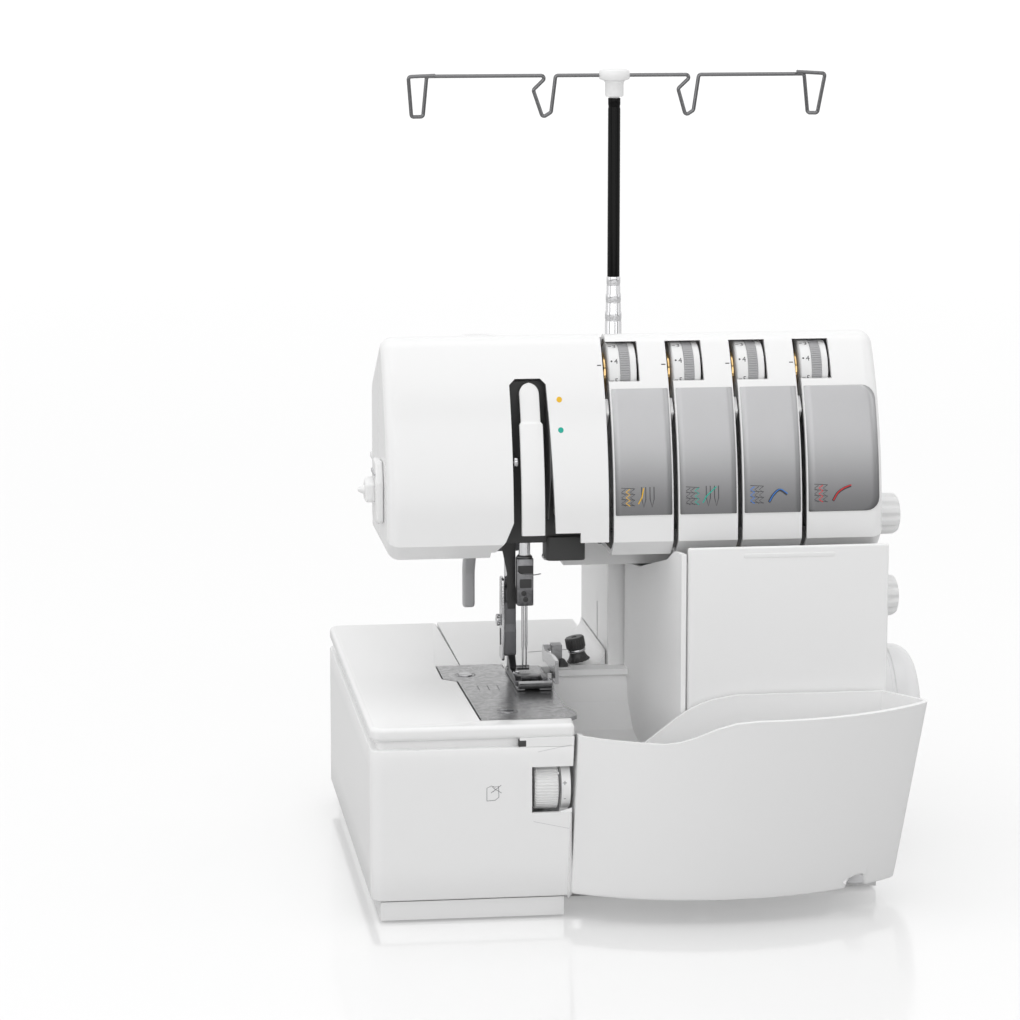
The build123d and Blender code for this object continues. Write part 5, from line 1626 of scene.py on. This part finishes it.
# ---------------------------------------------------------------- right side and back
@dataclass
class SideControls:
    """Handwheel, the two fluted dials, the pressure dial, the switch and the covers' screws and vents."""

    wheel: Pair = (135.0, 78.0)
    dials: tuple = (("stitch_length", "length_dial", 196.5), ("differential_feed", "feed_dial", 150.0))
    dial_y: float = 105.0
    dial_radius: float = 11.5
    scale_x: float = 180.04
    scale_radius: float = 15.2
    digits: str = "12345"

    def build(self) -> None:
        """Makes the controls."""
        self._handwheel()
        for name, body, z in self.dials:
            self._side_dial(name, body, z)
        self._pressure()
        self._switch()
        self._vents()
        self._screws()

    def _handwheel(self) -> None:
        """Smooth wheel with a dished face, a grip groove and an arrow."""
        box = Box.of("handwheel")
        inner, outer, r = box.low[0], box.high[0] - 3.2, (box.high[2] - box.low[2]) / 2
        turn = np.linspace(0, math.pi / 2, 9)
        curve = [(outer - 11 + 11 * math.sin(t), r - 11 + 11 * math.cos(t)) for t in turn]
        profile = [(inner + 0.6, r - 4), (inner, r - 3.4), (inner, r - 0.8), (inner + 0.8, r),
                   (outer - 17.6, r), (outer - 17, r - 0.7), (outer - 15.6, r - 0.7), (outer - 15, r),
                   *curve, (outer - 0.2, 21), (outer - 1.2, 19.8), (outer - 2.4, 18.4), (outer - 2.8, 0.0)]
        back = [(outer - 8, 0.0), (outer - 8, r - 12), (outer - 14, r - 4.2)]
        skin = lathe("wheel_skin", [*back, *profile], Axis.X, self.wheel, 96)
        hub = lathe("wheel_hub", [(inner, 5.0), (inner, 9.6), (inner + 0.5, 10), (outer - 8.2, 10),
                (outer - 8.2, 5.0)], Axis.X, self.wheel, 48)
        dress(joined("handwheel_body", [skin, hub]), WHEEL, "drive", ["handwheel"])
        turn = np.linspace(math.radians(60), math.radians(120), 16)
        arc = np.stack([0 * turn + outer - 0.35, self.wheel[0] + 23.6 * np.cos(turn),
                        self.wheel[1] + 23.6 * np.sin(turn)], -1)
        shaft = carried("wheel_arrow_arc", arc, flat(0.8, 0.2), up=RIGHT)
        tip = np.array([(outer - 0.2, self.wheel[0] + a, self.wheel[1] + b) for a,
                        b in ((12.6, 22.6), (15.6, 18.0), (10.4, 19.4))])
        dress(joined("wheel_arrow", [shaft, new_piece("wheel_arrow_tip", tip, [[0, 1, 2]])]), GREY_PRINT_AND_SHADE, "drive")

    def _side_dial(self, name: str, body: str, z: float) -> None:
        """Fluted knob: ten finger flutes that fade out at the rim, on a plain collar, with its numbers."""
        box = Box.of(f"{name}_dial")
        out, r = box.high[0], self.dial_radius
        profile = [(172, 0), (172, 4), (182, 4), (182, r - 0.4), (182.4, r), (184.6, r), (185.0, r - 0.2),
                   (186.4, r - 0.1), (198, r - 0.3), (out - 2.0, r - 0.8), (out - 0.8, r - 1.9),
                   (out - 0.2, r - 3.4), (out, r - 5), (out - 0.5, r - 5.6), (out - 0.7, 0)]

        def flutes(turn: np.ndarray, row: np.ndarray) -> np.ndarray:
            """Ten round flutes, from the collar to the rim."""
            deep = 0.13 * np.clip(np.cos(10 * turn), -0.15, 1)
            return 1 - deep * ((row > 6) & (row < 11))
        dress(lathe(f"{name}_knob", profile, Axis.X, (self.dial_y, z), 160, flutes), DIAL, body,
              [f"{name}_dial"])
        marks = []
        for i, text in enumerate(self.digits):
            angle = math.radians(200 - 35 * i)

            def put(u: np.ndarray, v: np.ndarray, a: float = angle) -> np.ndarray:
                """Flat points on the wall round the dial."""
                return np.stack([0 * u + self.scale_x, self.dial_y + self.scale_radius * math.cos(a) + u,
                                 z + self.scale_radius * math.sin(a) + v], -1)
            marks.append(letter(f"{name}_mark_{i}", text, 2.6, put))
        dress(joined(f"{name}_scale", marks), PALE_INK, "machine")

    def _pressure(self) -> None:
        """Pressure dial on top: a domed cap with a fine fluted edge and a pointer line."""
        box = Box.of("pressure_dial")
        top, r = box.high[2], 11.0
        profile = [(288, 0), (288, r), (top - 2.2, r), (top - 1.0, r - 0.5), (top - 0.3, r - 1.6),
                   (top, r - 3), (top - 0.1, 0)]
        dial = lathe("pressure_knob", profile, Axis.Z, tuple(box.mid[:2]), 144,
                     lambda turn, row: 1 - 0.025 * (np.cos(36 * turn) > 0) * ((row > 0) & (row < 4)))
        dress(dial, DIAL, "pressure", ["pressure_dial"])
        x, y = box.mid[:2]
        line = oblong((x - 0.35, y - 9), (x + 0.35, y - 2), 0.3)
        dress(slab("pressure_pointer", line, Axis.Z, top - 0.2, top, 0.05), INK, "pressure")

    def _switch(self) -> None:
        """Rocker with a hollowed face and soft edges, its frame, and the frame of the inlet."""
        box = Box.of("power_switch")
        (x0, y0, z0), (x1, y1, z1) = box.low, box.high
        side = [(x0, z0), (x1 - 0.4, z0)] + [(x1 - 0.4 - 1.6 * math.sin(t),
                z0 + (z1 - z0) * (1 - math.cos(t)) / 2) for t in np.linspace(0.4, math.pi - 0.4,
                9)] + [(x1 - 0.4, z1), (x0, z1)]
        rocker = slab("switch_rocker", np.array(side), Axis.Y, y0, y1, 0.4)
        dress(rocker, BLACK, "switch", ["power_switch"])
        for name, (a, b), (c, d) in (("switch_frame", (200.0, 218.0), (84.0, 100.0)),
                ("inlet_frame", (194.0, 216.0), (15.0, 34.0))):
            ring = []
            for grow in (0.0, 2.2):
                ring.append(oblong((a - grow, c - grow), (b + grow, d + grow), 1.2 + grow, 6))
            levels = [(ring[0], 179.4), (ring[0], 180.7), (inset(ring[1], 0.5), 181.0), (ring[1], 180.6),
                      (ring[1], 179.4)]
            points = np.concatenate([Axis.X.place(level, *line.T) for line, level in levels])
            dress(new_piece(name, points, quads(5, len(ring[0]), True, True)), BLACK, "machine")

    def _vents(self) -> None:
        """Cooling slots on the right wall and the back: black rounded strips set in by a hair, painted shade
        for the slots' dark insides.
        """
        strips = []
        for i in range(6):
            z = 118 + 6.0 * i
            line = oblong((150, z), (185, z + 2.4), 1.1, 5)
            strips.append(slab(f"vent_{i}", line, Axis.X, 179.8, 180.05, 0.05))
        for i in range(9):
            x = 92 + 8.0 * i
            line = oblong((x, 30), (x + 3, 62), 1.4, 5)
            strips.append(slab(f"rear_vent_{i}", line, Axis.Y, 241.8, 242.05, 0.05))
        # Painted shade: the black strips stand for the dark insides of the slots.
        dress(joined("cooling_slots", strips), BLACK, "machine")

    def _screws(self) -> None:
        """Screws in shallow wells on the back of the column."""
        for i, (x, z) in enumerate(((56.0, 24.0), (168.0, 24.0), (56.0, 186.0), (168.0, 186.0),
                (112.0, 186.0))):
            well = lathe(f"back_well_{i + 1}", [(240.8, 0), (240.8, 3.4), (242.1, 4.4), (242.2, 5.0),
                    (241.6, 5.2), (239.5, 5.2), (239.5, 0)], Axis.Y, (x, z), 32)
            dress(well, SHELL, "machine")
            screw = lathe(f"back_screw_{i + 1}", [(241.9, 0), (241.3, 0.7), (241.9, 0.8), (242.0, 1.6),
                    (241.5, 2.8), (240.6, 2.9), (240.6, 0)], Axis.Y, (x, z), 24)
            dress(screw, STEEL, "machine")


# ---------------------------------------------------------------- thread stand
@dataclass
class ThreadStand:
    """Telescopic mast with its collars and cap, spool tray, pins and cone holders."""

    mast: Pair = (60.2, 232.0)
    spool_y: float = 262.0
    spools: tuple[float, ...] = (-54.7, 18.8, 102.3, 172.0)

    def build(self) -> None:
        """Makes the stand's pieces."""
        self._tubes()
        self._cap()
        self._tray()

    def _tubes(self) -> None:
        """Four drawn tubes: each ends in a rolled lip, and a ring of dimples marks its stop."""
        bodies = ("machine", "mast_lower", "mast_middle", "mast_top")
        for i, body in enumerate(bodies, start=1):
            box = Box.of(f"mast_tube_{i}")
            low, high, r = box.low[2], box.high[2], (box.high[0] - box.low[0]) / 2
            profile = [(low, r - 0.34), (low, r), (high - 6.2, r), (high - 5.6, r - 0.16),
                       (high - 4.4, r - 0.16), (high - 3.8, r), (high - 0.5, r), (high - 0.1, r - 0.12),
                       (high, r - 0.34)]
            tube = lathe(f"mast_tube_{i}_drawn", profile, Axis.Z, self.mast, 48,
                         lambda turn, row: 1 - 0.05 * (np.cos(4 * turn) > 0.7) * ((row == 3) | (row == 4)))
            # The top tube is near-black: painted dark reflection of the room in front of it.
            dress(tube, CHROME if i < 4 else MAST_PAINTED_DARK_REFLECTION, body, [f"mast_tube_{i}"])

    def _cap(self) -> None:
        """White cap: a round head with a soft rim on a narrower neck, and the plug in the tube."""
        box = Box.of("mast_cap")
        top = box.high[2]
        profile = [(412, 0), (412, 3.0), (421.8, 3.0), (421.8, 5.0), (422.4, 5.4), (429.6, 5.4),
                   (430.8, 6.0), (431.6, 8.4), (432.6, 9.0), (top - 1.8, 9.0), (top - 0.6, 8.3), (top, 6.6),
                   (top, 0)]
        dress(lathe("mast_cap_head", profile, Axis.Z, self.mast, 64), SHELL, "wire_guide",
              ["mast_cap"])

    def _tray(self) -> None:
        """Spool tray with a raised rim, four ribbed pins and cone holders with four fins."""
        box = Box.of("spool_tray")
        (x0, y0, z0), (x1, y1, _) = box.low, box.high
        plan = oblong((x0, y0), (x1, y1), 18, 12)
        floor = slab("tray_floor", plan, Axis.Z, z0, z0 + 2.4, 0.8, 3)
        rings = [(plan, z0 + 2.2), (inset(plan, 0.3), z0 + 2.9), (inset(plan, 1.1), z0 + 3.0),
                 (inset(plan, 1.9), z0 + 2.9), (inset(plan, 2.2), z0 + 2.2)]
        points = np.concatenate([Axis.Z.place(level, *line.T) for line, level in rings])
        rim = new_piece("tray_rim", points, quads(5, len(plan), True, True))
        pins = []
        for i, x in enumerate(self.spools):
            pin = [(z0 + 1, 0), (z0 + 1, 6.4), (z0 + 3, 6.2), (z0 + 4.4, 4.1), (z0 + 50, 3.7),
                   (z0 + 52.6, 2.9), (z0 + 54, 0)]
            pins.append(lathe(f"pin_{i}", pin, Axis.Z, (x, self.spool_y), 48, lambda turn,
                              row: 1 - 0.12 * (np.cos(4 * turn) > 0.6) * ((row > 2) & (row < 5))))
        socket = lathe("mast_socket", [(z0 + 1, 4.9), (z0 + 1, 11), (z0 + 6, 9.4), (z0 + 12, 8.2),
                (z0 + 13, 7.4), (z0 + 13, 4.9)], Axis.Z, self.mast, 48)
        dress(joined("spool_tray_body", [floor, rim, socket, *pins]), TRAY, "machine",
              ["spool_tray"])
        base = z0 + 3.1
        for i, x in enumerate(self.spools, start=1):
            disc = lathe(f"cone_disc_{i}", [(base, 4.2), (base, 19.4), (base + 0.5, 20), (base + 1.5, 20),
                    (base + 2, 19.4), (base + 2, 7), (base + 3, 6), (base + 39, 5.6), (base + 40, 5),
                    (base + 40, 4.2)], Axis.Z, (x, self.spool_y), 56)
            parts = [disc]
            for k in range(4):
                turn = math.radians(90 * k)
                fin = rounded([(5.2, base + 1.6), (17.4, base + 1.6), (16.6, base + 6), (6.6, base + 39)],
                              [0.1, 0.8, 3, 0.5])
                away, level = fin.T
                skins = [np.stack([x + away * math.cos(turn) - s * math.sin(turn),
                                   self.spool_y + away * math.sin(turn) + s * math.cos(turn), level], -1)
                         for s in (-0.8, 0.8)]
                parts.append(new_piece(f"fin_{i}_{k}", np.concatenate(skins), capped(2, len(fin))))
            dress(joined(f"cone_holder_{i}", parts), TRAY, "machine",
                  ["cone_holders"] if i == 1 else ())


def main() -> None:
    """Builds the studio and every sub-assembly in order."""
    logging.basicConfig(level=logging.INFO, format="%(name)s: %(message)s")
    Studio().build()
    Head().build()
    Table().build()
    Bed().build()
    WasteBin().build()
    LooperCover().build()
    SewingHead().build()
    SideControls().build()
    ThreadStand().build()
    PackedNodes().build()


if __name__ == "__main__":
    main()
